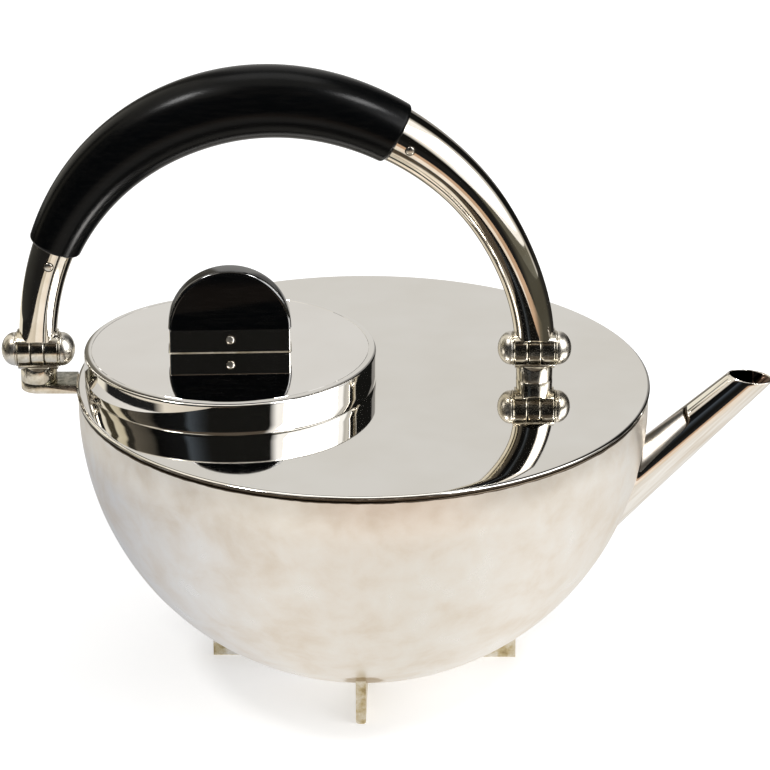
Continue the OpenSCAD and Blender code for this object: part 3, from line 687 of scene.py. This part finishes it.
def sweep_tree():
    """Geometry nodes that sweep a round section along a path; each point carries its radius."""
    tree, names, given = new_growth("turned_section_on_path",
                                    {"Section Sides": "Int", "Finish": "Material"})
    radius = add(tree, "GeometryNodeInputNamedAttribute",
                 {"data_type": "FLOAT", "Name": "section_r"}).outputs["Attribute"]
    path = add(tree, "GeometryNodeMeshToCurve", links={"Mesh": given["Geometry"]})
    sized = add(tree, "GeometryNodeSetCurveRadius",
                links={"Curve": path.outputs[0], "Radius": radius})
    section = add(tree, "GeometryNodeCurvePrimitiveCircle", {"Radius": 1.0},
                  {"Resolution": given["Section Sides"]})
    swept = add(tree, "GeometryNodeCurveToMesh", {"Fill Caps": True},
                {"Curve": sized.outputs[0], "Profile Curve": section.outputs[0],
                 "Scale": radius})
    end_growth(tree, given, swept)
    return tree, names


def make_grip():
    """The turned wooden grip, swept along the bail, with its ends rounded over."""
    rows = 220
    points, radii = [], []
    length = math.radians(GRIP_END - GRIP_START) * bail_rho(GRIP_PEAK)
    for k in range(rows + 1):
        share = 0.5 - 0.5 * math.cos(math.pi * k / rows)
        a = GRIP_START + (GRIP_END - GRIP_START) * share
        from_end = min(share, 1 - share) * length
        u = max(0.0, 1 - from_end / GRIP_ROUND)
        points.append(bail_point(a, 0, 0))
        radii.append((grip_r(a) - GRIP_ROUND * (1 - math.sqrt(max(0.0, 1 - u * u)))) * MM)
    path = bpy.data.meshes.new("grip_path")
    path.from_pydata([p * MM for p in points], [(k, k + 1) for k in range(rows)], [])
    carried = path.attributes.new("section_r", "FLOAT", "POINT")
    carried.data.foreach_set("value", radii)
    return grown("grip", path, *sweep_tree(), {"Section Sides": 96, "Finish": grip_wood})


# ---- hinges ----

def ring_tree():
    """Geometry nodes that turn one ring with eased edges and set copies of it on both hinges."""
    tree, names, given = new_growth("rings_on_both_hinges", {
        "Outer Radius": "Float", "Bore Radius": "Float", "Width": "Float", "Edge Ease": "Float",
        "Left Hinge": "Vector", "Right Hinge": "Vector", "First Copy": "Vector",
        "Last Copy": "Vector", "Copies": "Int", "Finish": "Material"})
    hinges = add(tree, "GeometryNodeMeshLine", {"mode": "END_POINTS", "Count": 2},
                 {"Start Location": given["Left Hinge"], "Offset": given["Right Hinge"]})
    copies = add(tree, "GeometryNodeMeshLine", {"mode": "END_POINTS"},
                 {"Count": given["Copies"], "Start Location": given["First Copy"],
                  "Offset": given["Last Copy"]})
    spots = add(tree, "GeometryNodeInstanceOnPoints",
                links={"Points": hinges.outputs[0], "Instance": copies.outputs[0]})
    fixed = add(tree, "GeometryNodeRealizeInstances", links={0: spots.outputs[0]})
    radii = {0: given["Outer Radius"], 1: given["Bore Radius"]}
    both = add(tree, "ShaderNodeMath", {"operation": "ADD"}, radii)
    middle = add(tree, "ShaderNodeMath", {"operation": "MULTIPLY", 1: 0.5}, {0: both.outputs[0]})
    deep = add(tree, "ShaderNodeMath", {"operation": "SUBTRACT"}, radii)
    circle = add(tree, "GeometryNodeCurvePrimitiveCircle", {"Resolution": 96},
                 {"Radius": middle.outputs[0]})
    section = add(tree, "GeometryNodeCurvePrimitiveQuadrilateral", {"mode": "RECTANGLE"},
                  {"Width": deep.outputs[0], "Height": given["Width"]})
    eased_section = add(tree, "GeometryNodeFilletCurve", {"mode": "POLY", "Count": 4},
                        {"Curve": section.outputs[0], "Radius": given["Edge Ease"]})
    ring = add(tree, "GeometryNodeCurveToMesh",
               links={"Curve": circle.outputs[0], "Profile Curve": eased_section.outputs[0]})
    placed = add(tree, "GeometryNodeInstanceOnPoints", {"Rotation": (0, math.pi / 2, 0)},
                 {"Points": fixed.outputs[0], "Instance": ring.outputs[0]})
    end_growth(tree, given, placed)
    return tree, names


def head_tree():
    """Geometry nodes that set one flattened round head on each given point."""
    tree, names, given = new_growth("rivet_heads_on_points", {
        "Head Radius": "Float", "Head Height": "Float", "Finish": "Material"})
    ball = add(tree, "GeometryNodeMeshUVSphere", {"Segments": 32, "Rings": 16, "Radius": 1.0})
    shape = add(tree, "ShaderNodeCombineXYZ",
                links={"X": given["Head Radius"], "Y": given["Head Height"],
                       "Z": given["Head Radius"]})
    heads = add(tree, "GeometryNodeInstanceOnPoints",
                links={"Points": given["Geometry"], "Instance": ball.outputs[0],
                       "Scale": shape.outputs[0]})
    end_growth(tree, given, heads)
    return tree, names


rings_on_hinges, heads_on_points = ring_tree(), head_tree()


def make_rings(name, outer_r, width, ease, offset, finish):
    """Rings about both hinge axes; with an offset there are two on each hinge."""
    return grown(name, bpy.data.meshes.new(name), *rings_on_hinges, {
        "Outer Radius": outer_r * MM, "Bore Radius": PIN_R * MM, "Width": width * MM,
        "Edge Ease": ease * MM, "Left Hinge": (LEFT_X * MM, 0, AXIS_Z * MM),
        "Right Hinge": (RIGHT_X * MM, 0, AXIS_Z * MM), "First Copy": (-offset * MM, 0, 0),
        "Last Copy": (offset * MM, 0, 0), "Copies": 2 if offset else 1, "Finish": finish})


def make_heads(rivets, radius, height, finish):
    """A head on both ends of each rivet, let in so that it stands as proud as the rivet does."""
    points = []
    for rivet in rivets:
        shape = [v.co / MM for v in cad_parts[rivet].data.vertices]
        for end in (-1, 1):
            reach = max(end * p.y for p in shape)
            tip = [p for p in shape if end * p.y > reach - 0.3]
            middle = sum(tip, Vector()) / len(tip)
            points.append((middle.x, end * (reach - RIVET_DOME), middle.z))
    return grown("heads", mesh_of("head_points", points, []), *heads_on_points, {
        "Head Radius": radius * MM, "Head Height": height * MM, "Finish": finish})


def make_caps():
    """Round ball ends, one on each end of both pins, with an eased foot."""
    sides, rows, foot = 64, 24, 0.3
    outline = [(0.0, 0.0), (KNUCKLE_R - foot, 0.0), (KNUCKLE_R - 0.09, 0.09), (KNUCKLE_R, foot)]
    for k in range(1, rows + 1):
        u = math.pi / 2 * k / rows
        outline.append((KNUCKLE_R * math.cos(u), foot + (CAP_DEEP - foot) * math.sin(u)))
    points, faces, n = [], [], len(outline)
    for hinge in (LEFT_X, RIGHT_X):
        for way in (-1, 1):
            first = len(points)
            for k in range(sides):
                a = 2 * math.pi * k / sides
                points += [(hinge + way * (CAP_X + z), r * math.cos(a), AXIS_Z + r * math.sin(a))
                           for r, z in outline]
            for k in range(sides):
                a, b = first + k * n, first + (k + 1) % sides * n
                faces += [(a + i, b + i, b + i + 1, a + i + 1) for i in range(n - 1)]
    return mesh_of("caps", points, faces)


# ---- lid and knob ----

def make_lid_shell():
    """The lid's wall, whose top eases over to the disc let into it."""
    corner, seat_r = 0.7, LID_R - LID_ROUND
    arc = [(LID_R - corner + corner * math.cos(a), LID_TOP_Z - 0.95 + corner * math.sin(a))
           for a in (math.radians(7) * k for k in range(11))]
    outline = [(LID_R - LID_WALL, TOP_Z), (LID_R - 0.3, TOP_Z), (LID_R - 0.09, TOP_Z + 0.09),
               (LID_R, TOP_Z + 0.3), (LID_R, TOP_Z + 2.5), (LID_R, TOP_Z + 5)] + arc
    outline += [(seat_r + 1.2, LID_TOP_Z - 0.13), (seat_r + 0.6, LID_TOP_Z - 0.04),
                (seat_r + 0.05, LID_TOP_Z), (seat_r, LID_TOP_Z - 0.05), (seat_r, LID_DISC_Z),
                (LID_LEDGE_R, LID_DISC_Z), (LID_LEDGE_R, LID_DISC_Z - LID_WALL),
                (LID_R - LID_WALL, LID_DISC_Z - LID_WALL)]
    return turned("lid_shell", outline, 256, LID_X)


def make_lid_disc():
    """The lid's flat top, with its edge just broken, so that a fine line parts it from the wall."""
    edge, r = 0.06, LID_DISC_R
    outline = [(0.0, LID_DISC_Z), (r, LID_DISC_Z), (r, LID_TOP_Z - edge), (r - edge, LID_TOP_Z)]
    outline += [(r * s, LID_TOP_Z) for s in (0.95, 0.6, 0.3)] + [(0.0, LID_TOP_Z)]
    return turned("lid_disc", outline, 256, LID_X)


def lid_turned(p):
    """A point made about the lid's middle, moved to its place on the pot."""
    c, s = math.cos(LID_TURN), math.sin(LID_TURN)
    return Vector((LID_X + p[0] * c - p[1] * s, p[0] * s + p[1] * c, p[2]))


def make_knob():
    """A disc on edge above the holder, and the square tenon below it, with eased edges."""
    rings, steps, arc_steps = [], 6, 96
    foot_z, top_z, tenon_x = LID_TOP_Z + HOLDER_T, max(HOLDER_TOP_Z, KNOB_Z), HOLDER_W / 2
    across = [(KNOB_T / 2 - KNOB_EASE + KNOB_EASE * math.sin(a), KNOB_EASE * (1 - math.cos(a)))
              for a in (math.pi / 2 * (1 - k / steps) for k in range(steps + 1))]
    profile = across + [(-y, d) for y, d in reversed(across)]
    for y, inset in profile:
        r = KNOB_R - inset
        ring = [lid_turned((-tenon_x, y, foot_z)), lid_turned((-tenon_x, y, HOLDER_TOP_Z))]
        for k in range(arc_steps + 1):
            a = math.pi * (1 - k / arc_steps)
            ring.append(lid_turned((r * math.cos(a), y, top_z + r * math.sin(a))))
        ring += [lid_turned((tenon_x, y, HOLDER_TOP_Z)), lid_turned((tenon_x, y, foot_z))]
        rings.append(ring)
    return skin("knob", rings)


def make_holder():
    """The folded channel that grips the knob's foot, with its upright ends filed round."""
    easing, easing_rows, lip, half_in = 0.5, 6, 0.12, KNOB_T / 2
    stations = [(-HOLDER_W / 2 + easing * (1 - math.sin(u)), easing * (1 - math.cos(u)))
                for u in (math.pi / 2 * (1 - k / easing_rows) for k in range(easing_rows + 1))]
    stations += [(-x, inset) for x, inset in reversed(stations)]
    rings = []
    for x, inset in stations:
        half = half_in + HOLDER_T - inset
        side = [(half, LID_TOP_Z), (half, LID_TOP_Z + 0.5), (half, HOLDER_TOP_Z - 3 * lip),
                (half, HOLDER_TOP_Z - lip), (half - lip * 0.3, HOLDER_TOP_Z - lip * 0.3),
                (half - min(lip, HOLDER_T - inset), HOLDER_TOP_Z), (half_in, HOLDER_TOP_Z),
                (half_in, LID_TOP_Z + HOLDER_T)]
        rings.append([lid_turned((x, y, z)) for y, z in side]
                     + [lid_turned((x, -y, z)) for y, z in reversed(side)])
    return skin("holder", rings)


def make_solder():
    """The fillet of solder between the holder's foot and the lid."""
    size, steps, corner_steps, sunk = 0.55, 6, 4, 0.05
    half_x, half_y = HOLDER_W / 2, KNOB_T / 2 + HOLDER_T
    rings = []
    for k in range(steps + 1):
        u = math.pi / 2 * k / steps
        out = size * (1 - math.sin(u)) - sunk
        z = LID_TOP_Z + size * (1 - math.cos(u)) - 0.02
        corner, ring = HOLDER_CORNER + out, []
        for way_x, way_y, first in ((1, 1, 0), (-1, 1, 90), (-1, -1, 180), (1, -1, 270)):
            for j in range(corner_steps + 1):
                a = math.radians(first + 90 / corner_steps * j)
                x = way_x * (half_x + out - corner) + corner * math.cos(a)
                y = way_y * (half_y + out - corner) + corner * math.sin(a)
                ring.append(lid_turned((x, y, z)))
        rings.append(ring)
    return skin("holder_solder", rings)


# ---- put the pieces in place ----

place_piece("bowl_raised", pierced_bowl(), "pot", ["body_bowl"], satin_silver)
place_piece("spout_tube", make_spout(), "pot", ["spout"], spout_silver)
place_piece("top_plate_flat", make_plate(), "pot", ["top_plate"], plate_silver)
for part, root, end in (("right_arm", 1, GRIP_START), ("left_arm", 179, GRIP_END)):
    place_piece(part + "_tube", make_arm(part + "_tube", root, end), "handle",
                [part], tube_silver, 40)
place_piece("grip_turned", make_grip(), "handle", ["grip"], grip_wood, 40)
place_piece("lid_wall", make_lid_shell(), "lid", ["lid_shell"], mirror_silver)
place_piece("lid_top", make_lid_disc(), "lid", ["lid_disc"], lid_silver)
knob = place_piece("knob_disc", make_knob(), "lid", ["knob"], knob_wood, 40)
knob.data.materials.append(rim_wood_painted_highlight)
# facets out on the knob's rounded rim take the shinier ebony, which paints the highlight line along
# it
knob_middle = Vector((LID_X, 0, KNOB_Z)) * MM
for facet in knob.data.polygons:
    off = facet.center - knob_middle
    facet.material_index = int(math.hypot(off.x, off.z) > (KNOB_R - KNOB_EASE) * MM)

for part, ease, body, finish in (("handle_bracket", 0.3, "pot", bracket_silver),
                                 ("left_post", 0.3, "pot", hinge_silver),
                                 ("right_post", 0.3, "pot", hinge_silver),
                                 ("left_lower_bearer", 0.3, "pot", hinge_silver),
                                 ("right_lower_bearer", 0.3, "pot", hinge_silver),
                                 ("left_upper_bearer", 0.15, "handle", hinge_silver),
                                 ("right_upper_bearer", 0.15, "handle", hinge_silver)):
    place_piece(part + "_eased", eased(part, ease), body, [part], finish)
place_piece("holder_folded", make_holder(), "lid", ["knob_holder"],
            mirror_silver)
for name, radius, width, ease, offset, body, node in (
        ("middle_knuckles", KNUCKLE_R, MIDDLE_W, 0.4, 0, "pot", "middle_knuckle"),
        ("outer_knuckles", KNUCKLE_R, OUTER_W, 0.4, OUTER_X, "handle", "outer_knuckles"),
        ("washers", WASHER_R, WASHER_W, 0.2, WASHER_X, "handle", "hinge_washers")):
    place_piece(name, make_rings(name, radius, width, ease, offset, hinge_silver), body,
                ["left_" + node, "right_" + node], hinge_silver)
place_piece("ball_caps", make_caps(), "handle",
            ["left_hinge_caps", "right_hinge_caps"], ball_silver)
place_piece("holder_solder", make_solder(), "lid", [], hinge_silver)
# dark rings sunk into the hinge gaps, beside the middle knuckle and at the washers: painted shade
# in the joints
for name, offset in (("knuckle_gap_painted_shade", KNUCKLE_JOINT_X), ("washer_gap_painted_shade", WASHER_JOINT_X)):
    rings = make_rings(name, KNUCKLE_R - JOINT_DEEP, JOINT_W, 0.03, offset, dark_silver)
    place_piece(name, rings, "handle", [], dark_silver)
for body, slot, rivets in (("handle", "handle_silver", ("left_grip_rivet", "right_grip_rivet")),
                           ("lid", "polished_silver", ("knob_rivet",))):
    for name, radius, height, finish in (("heads", HEAD_R, HEAD_H, ball_silver),
                                         ("tarnish", HEAD_STAIN_R, HEAD_STAIN_H, dark_silver)):
        place_piece(body + "_rivet_" + name, make_heads(rivets, radius, height, finish), body,
                    [], finish)

finishes = {"neck_ring": mirror_silver, "lid_flange": mirror_silver,
            "foot_blade_long": foot_silver, "foot_blade_cross": foot_silver,
            "left_hinge_pin": dark_silver, "right_hinge_pin": dark_silver}
for name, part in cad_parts.items():
    part.data.materials.clear()
    part.data.materials.append(finishes.get(name, hinge_silver))


# ---- studio ----

def surround(name, outline, stops):
    """A reflector all round the pot, seen only where something mirrors it. The outline is
    (radius, height) in metres, and the stops are (bearing in degrees, hex colour): 0 is the
    camera's side and 90 the spout's."""
    sides = 96
    points, faces = [], []
    for r, z in outline:
        points += [(r / MM * math.cos(a), r / MM * math.sin(a), z / MM)
                   for a in (2 * math.pi * k / sides for k in range(sides))]
    for row in range(len(outline) - 1):
        for k in range(sides):
            a, b = row * sides + k, row * sides + (k + 1) % sides
            faces.append((a, b, b + sides, a + sides))
    mesh = mesh_of(name, points, faces)
    material, tree = new_material(name)
    material.cycles.emission_sampling = "NONE"
    place = add(tree, "ShaderNodeTexCoord").outputs["Object"]
    turned_way = add(tree, "ShaderNodeMapping", {"Rotation": (0, 0, math.pi / 2)},
                     {"Vector": place})
    bearing = add(tree, "ShaderNodeTexGradient", {"gradient_type": "RADIAL"},
                  {"Vector": turned_way.outputs[0]})
    paint = add(tree, "ShaderNodeValToRGB", links={"Fac": bearing.outputs["Fac"]},
                stops=[((degrees + 180) / 360, colour) for degrees, colour in stops])
    glow = add(tree, "ShaderNodeEmission", {"Strength": 1.2}, {"Color": paint.outputs["Color"]})
    add(tree, "ShaderNodeOutputMaterial", links={"Surface": glow.outputs[0]})
    mesh.materials.append(material)
    piece = bpy.data.objects.new(name, mesh)
    bpy.context.scene.collection.objects.link(piece)
    piece.visible_camera = piece.visible_diffuse = piece.visible_shadow = False


def dome(low, high):
    """Part of a dome about the pot between two heights in degrees."""
    rows, far, middle_z, above_floor = 6, 2.4, 0.095, 0.0005
    ups = [math.radians(low + (high - low) * k / rows) for k in range(rows + 1)]
    return [(far * math.cos(u), max(above_floor, middle_z + far * math.sin(u))) for u in ups]


def mat(inner, outer):
    """A flat ring on the floor, between two radii in metres."""
    lift = 0.0004
    return [(inner, lift), (outer, lift)]


# the room: a pale scrim behind the pot, cream and dark boards to its left, black flags in front
# and a bright window to its right
SCRIM, BLACK, DARK, WHITE = "#C9C7C3", "#0A0A0A", "#141413", "#FFFFFF"
COOL_DARK, WARM_DARK, SHADE, CREAM = "#1D1D1D", "#282725", "#848280", "#F7F1E6"
LEFT_BACK = [(-180, SCRIM), (-168, SCRIM), (-165, "#77736A"), (-152, "#55524A"),
             (-149, "#E1DCCE"), (-120, "#E1DCCE"), (-117, "#474235"), (-107, "#3A362C"),
             (-105, "#CCC5B1"), (-95, "#BDB59F"), (-92, "#2A2823"), (-86, "#2A2823"),
             (-83, "#57524A"), (-66, "#3F3C36"), (-60, BLACK)]
RIGHT_BACK = [(102, "#AFADA8"), (107, "#CCC9C2"), (110, SHADE), (115, DARK), (150, DARK),
              (153, SHADE), (163, SHADE), (167, SCRIM)]
WINDOW = [(37, WHITE), (100, WHITE)]
surround("room_low", dome(-3, 5),
         LEFT_BACK + [(-14, DARK), (31, DARK), (37, "#5E5C52"), (99, "#6B695E")] + RIGHT_BACK)
surround("room_middle", dome(5, 38),
         LEFT_BACK + [(-36, "#121314"), (-32, "#3F454C"), (-22, "#24272A"), (-16, DARK),
                      (31, DARK)] + WINDOW + RIGHT_BACK)
surround("room_upper", dome(38, 50),
         LEFT_BACK[:5] + [(-70, "#D2CBBF"), (-60, "#50483F"), (30, "#50483F")] + WINDOW
         + RIGHT_BACK)
surround("room_high", dome(50, 68),
         [(-180, "#9A9894"), (-164, "#9A9894"), (-152, WARM_DARK), (-146, CREAM), (-30, CREAM),
          (-22, "#50483F"), (30, "#50483F"), (40, SHADE), (98, SHADE), (106, "#383633"),
          (150, WARM_DARK), (164, "#9A9894")])
surround("ceiling", dome(68, 89.5), [(-180, "#BBB7AF"), (0, "#D8D4CB"), (180, "#BBB7AF")])

# the table, ring by ring outwards: pale near the pot, and dark where the room begins
surround("paper_near", mat(0.001, 0.20),
         [(-180, "#CAC8C4"), (-150, "#B4B5B8"), (-110, "#AEB0B5"), (-60, "#D0D0D1"),
          (-30, "#DCD8D2"), (20, "#DAD6CF"), (60, "#E6E3DE"), (100, "#DEDBD6"),
          (140, "#CAC8C4")])
surround("table_middle", mat(0.20, 0.30),
         [(-180, "#CAC8C4"), (-130, "#BDBBB7"), (-60, "#E4E1DC"), (-22, "#EFE9DF"),
          (0, "#EFE4D8"), (30, "#EFE4D8"), (42, "#EDE6DD"), (70, "#EEEAE3"), (100, "#E6E3DE"),
          (140, "#ABA9A5")])
TABLE_LEFT = LEFT_BACK[:5] + [(-106, "#E1DCCE")]
TABLE_RIGHT = [(-22, "#C4BCAF"), (-8, "#BD9F86"), (26, "#C4A68C"), (44, "#6B6456"),
               (60, "#4A483F"), (100, "#4A483F"), (116, WARM_DARK), (160, WARM_DARK),
               (172, SCRIM)]
surround("table_edge", mat(0.30, 0.335),
         TABLE_LEFT + [(-102, COOL_DARK), (-60, COOL_DARK), (-52, "#D8D0C2")] + TABLE_RIGHT)
surround("table_light", mat(0.335, 0.375),
         TABLE_LEFT + [(-100, "#D8D0C2"), (-40, "#D8D0C2")] + TABLE_RIGHT)
surround("table_end", mat(0.375, 0.45),
         TABLE_LEFT + [(-102, COOL_DARK), (-30, COOL_DARK)] + TABLE_RIGHT)
surround("floor_far", mat(0.45, 2.45),
         [(-180, "#CAC8C4"), (-160, SHADE), (-130, "#383835"), (-60, COOL_DARK),
          (30, COOL_DARK), (45, "#4A483F"), (98, "#4A483F"), (116, WARM_DARK),
          (160, WARM_DARK), (172, "#CAC8C4")])


def shown_rays(tree):
    """1 for a ray from the camera, or one that metal or glass has sent on, and 0 for light."""
    rays = add(tree, "ShaderNodeLightPath").outputs
    seen = add(tree, "ShaderNodeMath", {"operation": "MAXIMUM"},
               {0: rays["Is Camera Ray"], 1: rays["Is Glossy Ray"]})
    return add(tree, "ShaderNodeMath", {"operation": "MAXIMUM"},
               {0: seen.outputs[0], 1: rays["Is Transmission Ray"]}).outputs[0]


def make_floor():
    """A plain white paper sweep that keeps the pot's shadow."""
    r, sides, lift = 6000, 96, 0.45
    material, tree = new_material("white_paper_sweep")
    paper = add(tree, "ShaderNodeBsdfDiffuse", {"Color": linear("#E8E8E8")})
    lifted = add(tree, "ShaderNodeMath", {"operation": "MULTIPLY", 1: lift},
                 {0: shown_rays(tree)})
    glow = add(tree, "ShaderNodeEmission", {"Color": (1, 1, 1, 1)},
               {"Strength": lifted.outputs[0]})
    both = add(tree, "ShaderNodeAddShader", links={0: paper.outputs[0], 1: glow.outputs[0]})
    add(tree, "ShaderNodeOutputMaterial", links={"Surface": both.outputs[0]})
    points = [(r * math.cos(2 * math.pi * k / sides), r * math.sin(2 * math.pi * k / sides), 0)
              for k in range(sides)]
    mesh = mesh_of("floor", points, [tuple(range(sides))])
    mesh.materials.append(material)
    floor = bpy.data.objects.new("floor", mesh)
    bpy.context.scene.collection.objects.link(floor)


def make_world():
    """A plain white world, at half strength as light."""
    world = bpy.data.worlds.new("studio")
    bpy.context.scene.world = world
    world.use_nodes = True
    tree = world.node_tree
    tree.nodes.clear()
    level = add(tree, "ShaderNodeMapRange", {"To Min": 0.5, "To Max": 1.0},
                {"Value": shown_rays(tree)})
    sky = add(tree, "ShaderNodeBackground", {"Color": (1, 1, 1, 1)},
              {"Strength": level.outputs[0]})
    add(tree, "ShaderNodeOutputWorld", links={"Surface": sky.outputs[0]})


def soft_box(name, bearing, height, far, width, depth, radiance):
    """An area lamp aimed at the pot; its power follows from how bright its face looks."""
    lamp = bpy.data.lights.new(name, "AREA")
    lamp.shape = "RECTANGLE"
    lamp.size, lamp.size_y = width, depth
    lamp.energy = radiance * math.pi * width * depth
    az, el = math.radians(bearing), math.radians(height)
    holder = bpy.data.objects.new(name, lamp)
    way = Vector((math.cos(el) * math.sin(az), -math.cos(el) * math.cos(az), math.sin(el)))
    holder.location = Vector((0, 0, 0.09)) + way * far
    holder.rotation_euler = way.to_track_quat("Z", "Y").to_euler()
    bpy.context.scene.collection.objects.link(holder)


make_floor()
make_world()
# bearing and height in degrees, distance, width and depth in metres, and radiance
soft_box("right_soft_box", 56, 56, 1.7, 0.34, 0.30, 22)
soft_box("left_soft_box", -66, 57, 1.7, 0.26, 0.26, 32)
soft_box("side_soft_box", 68, 26, 1.7, 1.5, 1.0, 2.6)
soft_box("top_soft_box", 180, 76, 1.8, 1.0, 0.7, 1.2)

# ---- camera ----

PICTURE, FOCUS_PX, SENSOR = 770, 4290.9, 36.0
CAMERA_UP, CAMERA_FAR, CAMERA_ROLL = 0.39923, 1.275, -0.00188
aim = Vector((0.00641, 0, 0.08922))
lens = bpy.data.cameras.new("camera")
lens.sensor_width, lens.lens = SENSOR, FOCUS_PX / PICTURE * SENSOR
lens.clip_start, lens.clip_end = 0.05, 30
camera = bpy.data.objects.new("camera", lens)
camera.location = aim + CAMERA_FAR * Vector((0, -math.cos(CAMERA_UP), math.sin(CAMERA_UP)))
camera.rotation_euler = (Matrix.Rotation(math.pi / 2 - CAMERA_UP, 3, "X")
                         @ Matrix.Rotation(CAMERA_ROLL, 3, "Z")).to_euler()
bpy.context.scene.collection.objects.link(camera)
bpy.context.scene.camera = camera
bpy.context.scene.view_settings.view_transform = "Standard"
